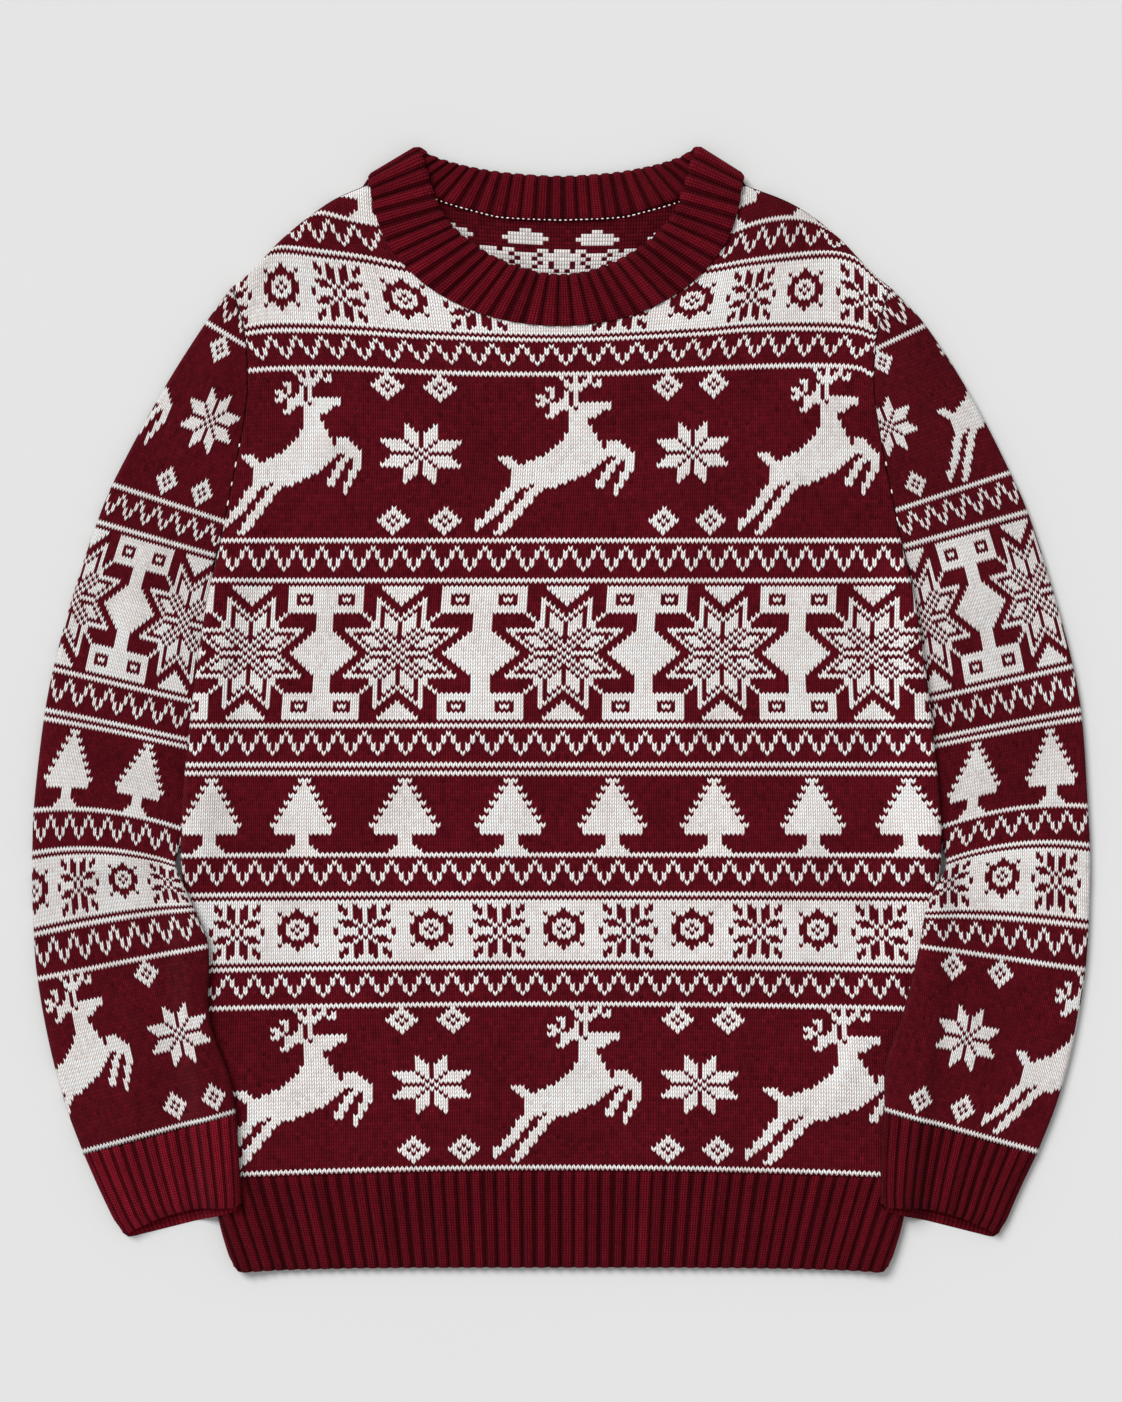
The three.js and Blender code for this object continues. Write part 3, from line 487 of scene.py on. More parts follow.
class Cloth:
    """Patches of knitted quads that become one mesh, with a colour for each stitch and a stitch grid as UV."""

    def __init__(self, seed):
        self.random = np.random.default_rng(seed)
        self.points = []
        self.faces = []
        self.colours = []
        self.grid = []
        self.count = 0

    def shade(self, colours, amount=0.06):
        """Small differences between stitches and broader ones between areas."""
        rows, columns = colours.shape[:2]
        fine = self.random.normal(0, amount, (rows, columns, 1))
        coarse = self.random.normal(0, 1, (rows // 9 + 2, columns // 9 + 2))
        r = np.linspace(0, coarse.shape[0] - 1.001, rows)
        c = np.linspace(0, coarse.shape[1] - 1.001, columns)
        r0, c0 = r.astype(int), c.astype(int)
        fr, fc = (r - r0)[:, None], (c - c0)[None, :]
        top = coarse[np.ix_(r0, c0)] * (1 - fc) + coarse[np.ix_(r0, c0 + 1)] * fc
        low = coarse[np.ix_(r0 + 1, c0)] * (1 - fc) + coarse[np.ix_(r0 + 1, c0 + 1)] * fc
        broad = (top * (1 - fr) + low * fr)[:, :, None]
        fine = fine * np.where(colours[:, :, :1] < 0.5, 2.2, 1)
        return np.clip(colours * (1 + fine + 0.045 * broad), 0, 1)

    def add(self, points, keep, colours, flip=False, step=(1, 1)):
        """A grid of points (rows, columns, 3), with the quads to keep, or None for all, and their colours."""
        rows, columns = points.shape[0] - 1, points.shape[1] - 1
        if keep is None:
            keep = np.ones((rows, columns), bool)
        index = np.arange(points.shape[0] * points.shape[1]).reshape(points.shape[:2]) + self.count
        quads = np.stack([index[:-1, :-1], index[:-1, 1:], index[1:, 1:], index[1:, :-1]], axis=-1)
        u = (np.arange(columns + 1) * step[0])[None, :].repeat(rows + 1, 0)
        v = (np.arange(rows + 1) * step[1])[:, None].repeat(columns + 1, 1)
        uv = np.stack([u, v], axis=-1).astype(float)
        corners = np.stack([uv[:-1, :-1], uv[:-1, 1:], uv[1:, 1:], uv[1:, :-1]], axis=2)
        if flip:
            quads = quads[..., ::-1]
            corners = corners[:, :, ::-1]
        self.points.append(points.reshape(-1, 3))
        self.faces.append(quads[keep])
        self.colours.append(np.broadcast_to(colours, (rows, columns, 3))[keep])
        self.grid.append(corners[keep])
        self.count += points.shape[0] * points.shape[1]

    def build(self, name, material):
        points = np.concatenate(self.points) * 0.001
        faces = np.concatenate(self.faces)
        colours = np.concatenate(self.colours)
        grid = np.concatenate(self.grid)
        used = np.unique(faces)
        renumber = np.zeros(len(points), int)
        renumber[used] = np.arange(len(used))
        mesh = bpy.data.meshes.new(name)
        mesh.from_pydata(points[used].tolist(), [], renumber[faces].tolist())
        layer = mesh.uv_layers.new(name="stitches")
        layer.data.foreach_set("uv", grid.reshape(-1).astype(np.float32))
        attribute = mesh.color_attributes.new(name="yarn", type="FLOAT_COLOR", domain="CORNER")
        rgba = np.ones((len(faces), 4, 4), np.float32)
        rgba[:, :, :3] = colours[:, None, :]
        attribute.data.foreach_set("color", rgba.reshape(-1))
        mesh.polygons.foreach_set("use_smooth", [True] * len(mesh.polygons))
        mesh.materials.append(material)
        mesh.update()
        piece = bpy.data.objects.new(name, mesh)
        bpy.context.scene.collection.objects.link(piece)
        return piece


def stitch_grid(rows, columns, first_column, parts, slope=0):
    """Fractional columns and rows of the corners of a knitted grid, from the row below the first one.

    A stitch is two sloping quads, or one plain quad.
    """
    i = np.arange(parts * columns + 1)[None, :]
    j = np.arange(rows + 1)[:, None]
    column = first_column - 0.5 + i / parts + 0.0 * j
    row = j - 1.5 + np.where(i % 2 == 0, slope, -slope)
    return column, row


def widened(x):
    """Distance from the centre along the neckline's curve, which is narrower on the right."""
    return np.abs(x) * (1 + RIGHT_NARROWING * falling(118, 165, x) * (x > 0))


def panel_point(arc, y, neck, is_front):
    """A body panel's surface at an arc length from the centre and a height, with how far it is past its edge."""
    side = side_at(y)
    open_share = 1 - armhole_share(y)
    past = np.abs(arc) - (side - SIDE_ROLL)
    turn = np.clip(past / SIDE_ROLL, 0, QUARTER)
    flat_x = np.minimum(np.abs(arc), side)
    rolled_x = side - SIDE_ROLL + SIDE_ROLL * np.sin(turn)
    x = np.where(past <= 0, np.abs(arc), mix(flat_x, rolled_x, open_share))
    drop = np.where(past > 0, open_share * SIDE_ROLL * (1 - np.cos(turn)), 0)
    beyond_side = past - SIDE_ROLL * mix(1, QUARTER, open_share)
    drop = drop + np.clip(beyond_side, 0, TURN_IN) * (1 - open_share)
    neck_x = widened(x * np.sign(arc))
    on_shoulder = neck_x > NECK_CORNER_X - 0.1
    top_y = np.where(on_shoulder, shoulder_y(neck_x), neck(neck_x))
    roll = SHOULDER_SLANT * SHOULDER_ROLL
    climb = (y - (top_y - roll)) / SHOULDER_SLANT
    lean = np.clip(climb / SHOULDER_ROLL, 0, QUARTER)
    rolled_y = np.where(climb > 0, top_y - roll + roll * np.sin(lean), y)
    new_y = np.where(on_shoulder, rolled_y, np.minimum(y, top_y))
    beyond_top = np.where(on_shoulder, climb - SHOULDER_ROLL * QUARTER, y - top_y)
    share = rising(NECK_CORNER_X - 9, NECK_CORNER_X - 0.2, neck_x)
    drop = drop + share * SHOULDER_ROLL * (1 - np.cos(lean))
    drop = drop + np.where(on_shoulder, 0, np.clip(beyond_top, 0, TURN_IN))
    seam = hem_seam_y(x) - 0.9
    below = np.clip(seam - new_y, 0, TURN_IN)
    new_y = np.maximum(new_y, seam)
    drop = drop + below
    signed = np.sign(arc) * x
    z = front_top(x * np.sign(arc), new_y) - drop if is_front else body_lift(x, new_y) + drop
    beyond = np.maximum(beyond_side - TURN_IN * (1 - open_share), beyond_top - TURN_IN)
    return np.stack([signed, new_y, z], axis=-1), np.maximum(beyond, seam - y - 4)


def column_x(column, row):
    """Arc length from the centre of a body column at a row, and the row's height there."""
    level = row_height(row)
    moved = column + UPPER_SHIFT
    upper = upper_place(moved) * (1 + neck_stretch(row) * falling(20, 66, np.abs(moved))) + NECK_SHIFT
    tables = [(row_key, table(column + 0.5)) for row_key, table in sorted(column_places.items())]
    tables += [(203, tables[-1][1]), (219, upper)]
    arc = tables[0][1] + 0 * row
    for (low, first), (high, last) in zip(tables, tables[1:]):
        arc = arc + np.clip((row - low) / (high - low), 0, 1) * (last - first)
    return arc, level + swing_at(row, arc)


def panel_keep(beyond):
    least = np.minimum(np.minimum(beyond[:-1, :-1], beyond[1:, 1:]), np.minimum(beyond[1:, :-1], beyond[:-1, 1:]))
    return least < 0


# Materials

STITCH_DEPTH = 0.0010
# Painted shade: how far each knitted material's colour darkens in the gaps between stitches
PAINTED_CAVITY_SHADE = {"jacquard_knit": 0.45, "ribbing": 0.62}


class Nodes:
    """Short calls for one tree's nodes, where an input takes a value or another node's socket."""

    def __init__(self, tree):
        self.tree = tree
        tree.nodes.clear()

    def add(self, kind, inputs=None, **values):
        made = self.tree.nodes.new(kind)
        for key, value in values.items():
            setattr(made, key, value)
        for key, value in (inputs or {}).items():
            if isinstance(value, bpy.types.NodeSocket):
                self.tree.links.new(value, made.inputs[key])
            else:
                made.inputs[key].default_value = value
        return made

    def math(self, operation, *values):
        return self.add("ShaderNodeMath", dict(enumerate(values)), operation=operation).outputs[0]


def new_material(name):
    material = bpy.data.materials.new(name)
    material.use_nodes = True
    return material, Nodes(material.node_tree)


def knit_material(name, settings, cavity_shade):
    """Yarn in the stitch's own colour: rounded arms of each stitch with painted shade in the gaps between them,
    fibres and soft mottling.
    """
    material, m = new_material(name)
    grid = m.add("ShaderNodeUVMap", uv_map="stitches")
    split = m.add("ShaderNodeSeparateXYZ", {0: grid.outputs["UV"]})
    arm, row = [m.math("SINE", m.math("MULTIPLY", m.math("FRACT", split.outputs[axis]), math.pi)) for axis in "XY"]
    arm_round = m.math("POWER", m.math("MAXIMUM", arm, 0.0), 0.8)
    row_round = m.math("POWER", m.math("MAXIMUM", row, 0.0), 0.6)
    height = m.math("MULTIPLY", arm_round, m.math("ADD", m.math("MULTIPLY", row_round, 0.8), 0.2))
    place = m.add("ShaderNodeTexCoord").outputs["Object"]
    fibre = m.add("ShaderNodeTexNoise", {"Vector": place, "Scale": 1500, "Detail": 3}).outputs["Fac"]
    mottle = m.add("ShaderNodeTexNoise", {"Vector": place, "Scale": 26, "Detail": 4}).outputs["Fac"]
    full = m.math("ADD", height, m.math("MULTIPLY", fibre, 0.35))
    # Painted shade: the colour darkens where the stitch's arms and rows dip into gaps.
    shade = m.math("ADD", m.math("MULTIPLY", height, cavity_shade), 1 - cavity_shade)
    for noise in (fibre, mottle):
        shade = m.math("MULTIPLY", shade, m.math("ADD", m.math("MULTIPLY", noise, 0.3), 0.85))
    yarn = m.add("ShaderNodeVertexColor", layer_name="yarn")
    # The yarn's colour times the painted shade and the fibre and mottle noise
    shaded_yarn = m.add("ShaderNodeVectorMath", {0: yarn.outputs["Color"], "Scale": shade}, operation="SCALE")
    bump = m.add("ShaderNodeBump", {"Strength": settings.bump, "Distance": STITCH_DEPTH, "Height": full})
    shader = m.add("ShaderNodeBsdfPrincipled", {
        "Roughness": 0.92, "Specular IOR Level": 0.02, "Sheen Weight": settings.sheen, "Sheen Roughness": 0.5,
        "Base Color": shaded_yarn.outputs["Vector"], "Normal": bump.outputs["Normal"],
    })
    m.add("ShaderNodeOutputMaterial", {"Surface": shader.outputs[0]})
    return material


def plain_material(name, colour, roughness, scale, amount):
    """An even matt surface with faint mottling."""
    material, m = new_material(name)
    place = m.add("ShaderNodeTexCoord").outputs["Object"]
    noise = m.add("ShaderNodeTexNoise", {"Vector": place, "Scale": scale})
    dark, light = [(*[min(1, c * (1 + way * amount)) for c in colour], 1) for way in (-1, 1)]
    tint = m.add("ShaderNodeMix", {"A": dark, "B": light, "Factor": noise.outputs["Fac"]}, data_type="RGBA")
    mixed = next(s for s in tint.outputs if s.type == "RGBA")
    shader = m.add("ShaderNodeBsdfPrincipled", {
        "Roughness": roughness, "Specular IOR Level": 0.2, "Base Color": mixed,
    })
    m.add("ShaderNodeOutputMaterial", {"Surface": shader.outputs[0]})
    return material


def knitted(name, settings):
    """The knitted material of this name, made on its first use."""
    return bpy.data.materials.get(name) or knit_material(name, settings, PAINTED_CAVITY_SHADE[name])


def dress(piece, node):
    """Puts a cloth piece in its solid's place."""
    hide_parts(node)
    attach(piece, "root")


def chart_colours(rows, columns, test, settings):
    wine = np.array(settings.wine)
    white = np.array(settings.white)
    is_white = np.array([[test(column, row) for column in columns] for row in rows])
    return np.where(is_white[:, :, None], white, wine)


# Body


def body_colours(settings, test):
    columns = range(FIRST_COLUMN, FIRST_COLUMN + BODY_COLUMNS)
    return chart_colours(range(-1, BODY_ROWS), columns, test, settings)


def make_front(settings):
    cloth = Cloth(SEEDS["front"])
    column, row = stitch_grid(BODY_ROWS + 1, BODY_COLUMNS, FIRST_COLUMN, 2, settings.slope)
    arc, y = column_x(column, row)
    points, beyond = panel_point(arc, y, through(FRONT_NECK), True)
    colours = cloth.shade(body_colours(settings, body_is_white)).repeat(2, axis=1)
    cloth.add(points, panel_keep(beyond), colours)
    return cloth.build("front_knit", knitted("jacquard_knit", settings))


def make_back(settings):
    """The back, with the strip of its wrong side that shows inside the neck, darkened as painted shade."""
    cloth = Cloth(SEEDS["back"])
    column, row = stitch_grid(BODY_ROWS + 1, BODY_COLUMNS, FIRST_COLUMN, 1)
    arc, y = column_x(column, row)
    points, beyond = panel_point(arc, y, through(BACK_NECK), False)
    colours = cloth.shade(body_colours(settings, body_is_white))
    cloth.add(points, panel_keep(beyond), colours, flip=True, step=(2, 1))
    inner, inner_beyond = panel_point(arc, y, through([(x, edge + 3) for x, edge in BACK_NECK]), False)
    inner[:, :, 2] += INSIDE_HEIGHT
    inner[:, :, 0] *= INSIDE_NARROWING
    near = (row[:-1, :-1] > INSIDE_FROM) & (np.abs(column[:-1, :-1]) < INSIDE_REACH)
    # Painted shade: the inside strip is darker than the outside.
    colours = cloth.shade(body_colours(settings, inside_is_white) * INSIDE_PAINTED_SHADE)
    cloth.add(inner, panel_keep(inner_beyond) & near, colours, step=(2, 1))
    return cloth.build("back_knit", knitted("jacquard_knit", settings))


def inside_is_white(column, row):
    """Wrong side of the back, below the neck: clusters over a speckled pale band."""
    down = INSIDE_TOP - row
    k = int(abs((column + 3) % 13 - 6.5))
    if 0 <= down < len(CLUSTER_ROWS):
        return k in CLUSTER_ROWS[down]
    down -= len(CLUSTER_ROWS)
    if 0 <= down < len(SPECKLE_ROWS):
        return k not in SPECKLE_ROWS[down]
    return False


# Sleeves


def make_sleeve(name, settings):
    sleeve = SLEEVES[name]
    side = sleeve["side"]
    outline = through(sleeve["outline"])
    inner_line = through(sleeve["inner"])
    outer_rows = through(sleeve["outer_rows"])
    inner_rows = through(sleeve["inner_rows"])
    pitch = through(sleeve["pitch"])
    lean = through(SLEEVE_LEAN)
    cloth = Cloth(sleeve["seeds"][0])

    def surface(column, row, step, under):
        """Points at a number of columns from the outer fold, on the top or the underside."""
        given_row = row
        row = np.clip(row, -0.9, SLEEVE_ROWS)
        y0, y1 = outer_rows(row), inner_rows(row)
        x0 = outline(y0)
        arm = side_at(y1) + ARM_GAP
        x1 = np.where(y1 > UNDERARM_Y, arm, inner_line(y1))
        length = np.hypot(x1 - x0, y1 - y0)
        cap = rising(150, 158, row)
        r_out = mix(OUTER_ROLL, SHOULDER_ROLL, rising(154, 219, row))
        r_in = mix(mix(3.5, 2.8, rising(71, 81, row)), 0.01, cap)
        quarter_out = r_out * QUARTER
        quarter_in = r_in * QUARTER
        total = quarter_out + np.maximum(length - r_out - r_in, 0) + quarter_in
        arc = (column + lean(row) if under else column - lean(row)) * step
        beyond = np.maximum(arc - total, -arc)
        arc = np.clip(arc, 0, total)
        turn_out = np.clip(arc / r_out, 0, QUARTER)
        turn_in = np.clip((total - arc) / r_in, 0, QUARTER)
        on_outer = arc < quarter_out
        on_inner = (total - arc < quarter_in) & ~on_outer
        gone = np.where(on_outer, r_out * (1 - np.cos(turn_out)), r_out + arc - quarter_out)
        gone = np.where(on_inner, length - r_in * (1 - np.cos(turn_in)), gone)
        t = gone / np.maximum(length, 0.01)
        bow = ELBOW_BOW * rising(45, 66, row) * falling(78, 112, row) * 4 * t * (1 - t)
        x = side * mix(x0, x1, t)
        y = mix(y0, y1, t) + bow
        arm_y = np.clip(y, UNDERARM_Y, SHOULDER_Y)
        from_arm = np.hypot(np.maximum(0, np.abs(x) - side_at(arm_y) - ARM_GAP), arm_y - y)
        arm_seam = BODY_THICKNESS - ARMHOLE_DIP * falling(*DIP_END, y)
        loss = np.maximum((SLEEVE_THICKNESS - 2 * r_out) * falling(0, 40, gone),
                          (SLEEVE_THICKNESS - 2 * mix(r_in, 3.3, cap)) * falling(0, 40, length - gone) * (1 - cap))
        loss = np.maximum(loss, (SLEEVE_THICKNESS - arm_seam) * falling(0, 25, from_arm))
        fade = rising(5, 26, gone) * rising(12, 32, length - gone) * rising(5, 30, from_arm)
        top = SLEEVE_THICKNESS - loss + fold_height(SLEEVE_FOLDS, x, y) * fade
        rest = rest_height(x, y)
        height = np.where(on_outer, r_out + r_out * np.sin(turn_out), top)
        height = np.where(on_inner, r_in + r_in * np.sin(turn_in), height)
        height = np.where(on_inner & (cap > 0), top, height)
        if under:
            height = np.where(on_outer, r_out - r_out * np.sin(turn_out), 0)
            height = np.where(on_inner & (cap == 0), r_in - r_in * np.sin(turn_in), height)
            rest = rest + 0.02
        edge = np.clip(beyond, 0, TURN_IN) * cap * (arc > 1) + TURN_IN * falling(-1.2, -0.9, given_row)
        z = rest + height + (edge if under else -edge)
        return np.stack([x, y, z], axis=-1), beyond - TURN_IN * cap * (arc > 1)

    for under, parts in ((False, 2), (True, 1)):
        column, row = stitch_grid(SLEEVE_ROWS + 1, SLEEVE_COLUMNS, 0, parts, 0 if under else settings.slope)
        points, beyond = surface(column + 0.5, row, pitch(row), under)
        colours = chart_colours(range(-1, SLEEVE_ROWS), range(SLEEVE_COLUMNS),
                                lambda c, r: is_white(sleeve, -1 - c if under else c, r), settings)
        colours = cloth.shade(colours).repeat(parts, axis=1)
        cloth.add(points, panel_keep(beyond), colours, flip=(side > 0) != under, step=(2 // parts, 1))
    return cloth.build(f"sleeve_{name}_knit", knitted("jacquard_knit", settings))


# Ribbing


def rib_profile(count):
    """Height share of a rib at a count of ribs along it: broad ridges beside sunk valleys, none quite alike."""
    valley = np.floor(count + 0.5)
    away = np.abs(count - valley)
    uneven = 0.04 * np.sin(valley * 5.1)
    return rising(0.07 + uneven, 0.29 + uneven, away)


def rib_colours(settings, count, brightness=1.0):
    """Colour of each quad between points at these counts of ribs: painted shade darkens the valleys, and the ribs are
    uneven from rib to rib.
    """
    middle = 0.25 * (count[:-1, :-1] + count[1:, 1:] + count[1:, :-1] + count[:-1, 1:])
    rib = np.floor(middle)
    uneven = 1 + 0.1 * np.sin(rib * 2.4) + 0.06 * np.sin(rib * 7.7)
    # Painted shade: the valleys fall to 0.38 of the ridges' colour.
    share = brightness * uneven * (0.38 + 0.62 * rib_profile(middle))
    return np.array(settings.rib_wine) * share[:, :, None]


def make_cuff(name, settings):
    sleeve = SLEEVES[name]
    side = sleeve["side"]
    table = sleeve["cuff"]
    out_x, out_y, in_x, in_y = [through([(row[0], row[k]) for row in table]) for k in (1, 2, 3, 4)]
    rows = 24
    cloth = Cloth(sleeve["seeds"][1])
    # Painted light: each cuff's colour is scaled, lighter on the left and darker on the right.
    brightness = sleeve["cuff_painted_light"]
    roll_steps = 9

    def ring(under, inset):
        level = np.linspace(0.0, 1.0, rows + 1)[:, None]
        steps = CUFF_RIBS * (2 if under else PER_RIB)
        flat = np.linspace(0, 1, steps + 1)
        angle = np.linspace(0, QUARTER, roll_steps + 1)
        station = np.concatenate([angle[:-1] / QUARTER - 1, flat, 1 + angle[1:] / QUARTER])[None, :]
        x0, y0, x1, y1 = out_x(level), out_y(level), in_x(level), in_y(level)
        shift = np.where(level == 0, 0.6, 0)
        y0, y1 = y0 - shift, y1 - shift
        length = np.hypot(x1 - x0, y1 - y0)
        radius = CUFF_ROLL
        span = length - 2 * radius
        on_outer, on_inner = station < 0, station > 1
        turn = np.where(on_outer, (station + 1) * QUARTER, np.where(on_inner, (2 - station) * QUARTER, 0))
        gone = np.where(on_outer, radius * (1 - np.cos(turn)), radius + span * np.clip(station, 0, 1))
        gone = np.where(on_inner, length - radius * (1 - np.cos(turn)), gone)
        t = gone / length
        x = side * mix(x0, x1, t)
        y = mix(y0, y1, t)
        count = CUFF_RIBS * (1 - station) + 0 * x
        profile = rib_profile(count)
        if under:
            height = np.where(on_outer | on_inner, radius - radius * np.sin(turn), 0)
        else:
            plain = np.where(on_outer | on_inner, radius + radius * np.sin(turn), CUFF_THICKNESS)
            relief = settings.rib_height * profile * rising(0, 0.06, level)
            height = plain + relief * rising(0, 6, np.minimum(gone, length - gone))
        height = np.clip(height, inset, 99) - (0 if under else inset)
        rest = rest_height(x, y)
        up = np.clip((height - 1) / (CUFF_THICKNESS - 2), 0, 1)
        lip = CUFF_LIP / math.hypot(table[0][1] - table[2][1], table[0][2] - table[2][2]) * level
        lift_x = side * (out_x(1 - lip) - out_x(1)) * 0.4
        lift_y = out_y(1 - lip) - out_y(1)
        drawn = np.where(level > 0.8, (level - 0.8) * 5, 0) * up * (0.25 + 3 * t * (1 - t))
        x = x + drawn * lift_x
        y = y + drawn * lift_y
        corner = falling(0, 5.5, np.minimum(gone, length - gone)) ** 2
        y = y + 3.0 * corner * rising(0.75, 1, level)
        return np.stack([x, y, rest + height], axis=-1), count

    for under in (False, True):
        points, count = ring(under, 0)
        cloth.add(points, None, cloth.shade(rib_colours(settings, count, brightness), RIB_SHADE),
                  flip=(side > 0) != under, step=(1 if under else 1 / 3, 1.5))
        inner, _ = ring(under, CUFF_WALL)
        start = int(0.55 * rows)
        inner[-1] = points[-1]
        # Painted shade: the inside of the open end is darker, on top of the cuff's painted light.
        shade = rib_colours(settings, count[start:], INSIDE_PAINTED_SHADE * brightness)
        cloth.add(inner[start:], None, shade, flip=(side > 0) == under)
    return cloth.build(f"cuff_{name}_ribbing", knitted("ribbing", settings))


def make_hem(settings):
    cloth = Cloth(SEEDS["hem"])
    rows = 25
    extra = 3
    steps = (HEM_RIBS + 2 * extra) * PER_RIB
    share = (np.arange(steps + 1) / steps * 2 - 1)[None, :] * (HEM_RIBS + 2 * extra) / HEM_RIBS
    level = np.linspace(0, 1, rows + 1)[:, None]

    def level_y(x, along):
        bottom = HEM_BOTTOM_Y - HEM_BOTTOM_DROP * (x / side_at(HEM_BOTTOM_Y)) ** 4
        return mix(hem_seam_y(x) - 0.6, bottom, along)

    def face(under, wall):
        half_top = side_at(HEM_SEAM_Y)
        half = side_at(level_y(half_top, level))
        arc_half = half + ROLL_GAIN * SIDE_ROLL
        arc = share * (half_top + ROLL_GAIN * SIDE_ROLL)
        slant = settings.hem_slant * level * np.abs(share) ** 1.5
        arc = arc - np.sign(share) * slant
        beyond = np.abs(arc) - arc_half
        past = np.clip(np.abs(arc) - (half - SIDE_ROLL), 0, SIDE_ROLL * QUARTER)
        turn = past / SIDE_ROLL
        x = np.where(past > 0, half - SIDE_ROLL + SIDE_ROLL * np.sin(turn), np.abs(arc)) * np.sign(arc)
        y = level_y(x, level)
        inward = half - np.abs(x)
        bead = (2 * SIDE_ROLL - HEM_THICKNESS) * falling(SIDE_ROLL, FULLNESS_REACH, inward)
        count = share * HEM_RIBS / 2 + 0 * x
        profile = rib_profile(count)
        relief = settings.rib_height * profile * rising(0, 7, inward) * rising(0, 0.06, level)
        drop = SIDE_ROLL * (1 - np.cos(turn))
        z = drop if under else HEM_THICKNESS + bead + relief - drop
        edge = rising(0.965, 1.0, level)
        if under:
            z = z + edge * 1.2
        else:
            z = z - edge * (1.4 + 0.4 * profile)
        seam = falling(0, 0.03, level) * 0.8
        z = z + (seam if under else -seam)
        corner = falling(0, 6, inward) ** 2
        y = y + 3.5 * corner * rising(0.8, 1, level) - 0.25 * profile * rising(0.9, 1, level)
        return np.stack([x, y, z + (wall if under else -wall)], axis=-1), beyond, count

    for under in (False, True):
        points, beyond, count = face(under, 0)
        cloth.add(points, panel_keep(beyond), cloth.shade(rib_colours(settings, count, HEM_TONE), RIB_SHADE),
                  flip=not under, step=(1 / 3, 1.5))
    return cloth.build("hem_ribbing", knitted("ribbing", settings))


def catmull(points, t):
    """A closed Catmull-Rom curve through points, at shares t of its turn."""
    points = np.array(points, float)
    count = len(points)
    place = (t % 1) * count
    i = np.floor(place).astype(int)
    w = (place - i)[:, None]
    p0, p1, p2, p3 = [points[(i + k) % count] for k in (-1, 0, 1, 2)]
    t0, t1 = 0.5 * (p2 - p0), 0.5 * (p3 - p1)
    return (p1 + t0 * w + (-3 * p1 + 3 * p2 - 2 * t0 - t1) * w**2 + (2 * p1 - 2 * p2 + t0 + t1) * w**3)


def narrowed(points):
    """The collar's right side, moved in to its place."""
    moved = points.copy()
    moved[:, 0] *= np.where(points[:, 0] > 0, 1 / (1 + RIGHT_NARROWING), 1)
    return moved


def collar_frames(shares):
    """Start, width and outward normal of the collar's band at even shares of its length."""
    mirrored = [((-s[0], s[1], s[2]), (-f[0], f[1], f[2])) for s, f in COLLAR_BAND[1:-1][::-1]]
    around = COLLAR_BAND + mirrored
    sewn = [row[0] for row in around]
    free = [row[1] for row in around]
    samples = np.linspace(0, 1, 4001)
    middle = 0.5 * (catmull(sewn, samples) + catmull(free, samples))
    lengths = np.concatenate([[0], np.cumsum(np.linalg.norm(np.diff(middle, axis=0), axis=1))])
    t = np.interp(shares * lengths[-1], lengths, samples)
    start, end = narrowed(catmull(sewn, t)), narrowed(catmull(free, t))
    step = 0.002
    ahead = 0.5 * (catmull(sewn, t + step) + catmull(free, t + step))
    behind = 0.5 * (catmull(sewn, t - step) + catmull(free, t - step))
    tangent = ahead - behind
    tangent /= np.linalg.norm(tangent, axis=1)[:, None]
    across = end - start
    normal = np.cross(tangent, across)
    normal /= np.linalg.norm(normal, axis=1)[:, None]
    return start, across, normal


def make_collar(settings):
    cloth = Cloth(SEEDS["collar"])
    count = COLLAR_RIBS * PER_RIB
    rows = 13
    shares = np.arange(count + 1) / count
    start, across, normal = collar_frames(shares)
    rib_count = shares * COLLAR_RIBS + 0.2
    profile = rib_profile(rib_count)
    outer_up = rising(-0.35, 0.25, normal[:, 2])
    inner_up = falling(-0.25, 0.35, normal[:, 2])
    along = np.linspace(0, 1, rows + 1)
    loop = []
    shade = []
    for outward in (True, False):
        sign = 1 if outward else -1
        up = outer_up if outward else inner_up
        for step in (along if outward else along[::-1]):
            ends = 1 - 0.55 * rising(0.93, 1.0, step) - 0.35 * falling(0.0, 0.05, step)
            height = (COLLAR_HALF_WALL + settings.rib_height * profile * up) * ends
            reach = step + 0.025 * profile * rising(0.8, 1.0, step)
            loop.append(start + across * reach[:, None] + normal * (sign * height)[:, None])
            shade.append(rib_count)
    loop.append(loop[0])
    shade.append(shade[0])
    points = np.stack(loop)
    colours = cloth.shade(rib_colours(settings, np.stack(shade)), RIB_SHADE)
    cloth.add(points, None, colours, step=(1 / 3, 1.5))
    return cloth.build("collar_ribbing", knitted("ribbing", settings))


# Linking stitches

NECK_SEAM = [(0, 318), (39, 319.9), (53, 323), (74, 329), (92, 336)]
NECK_SEAM_Z = 4.4


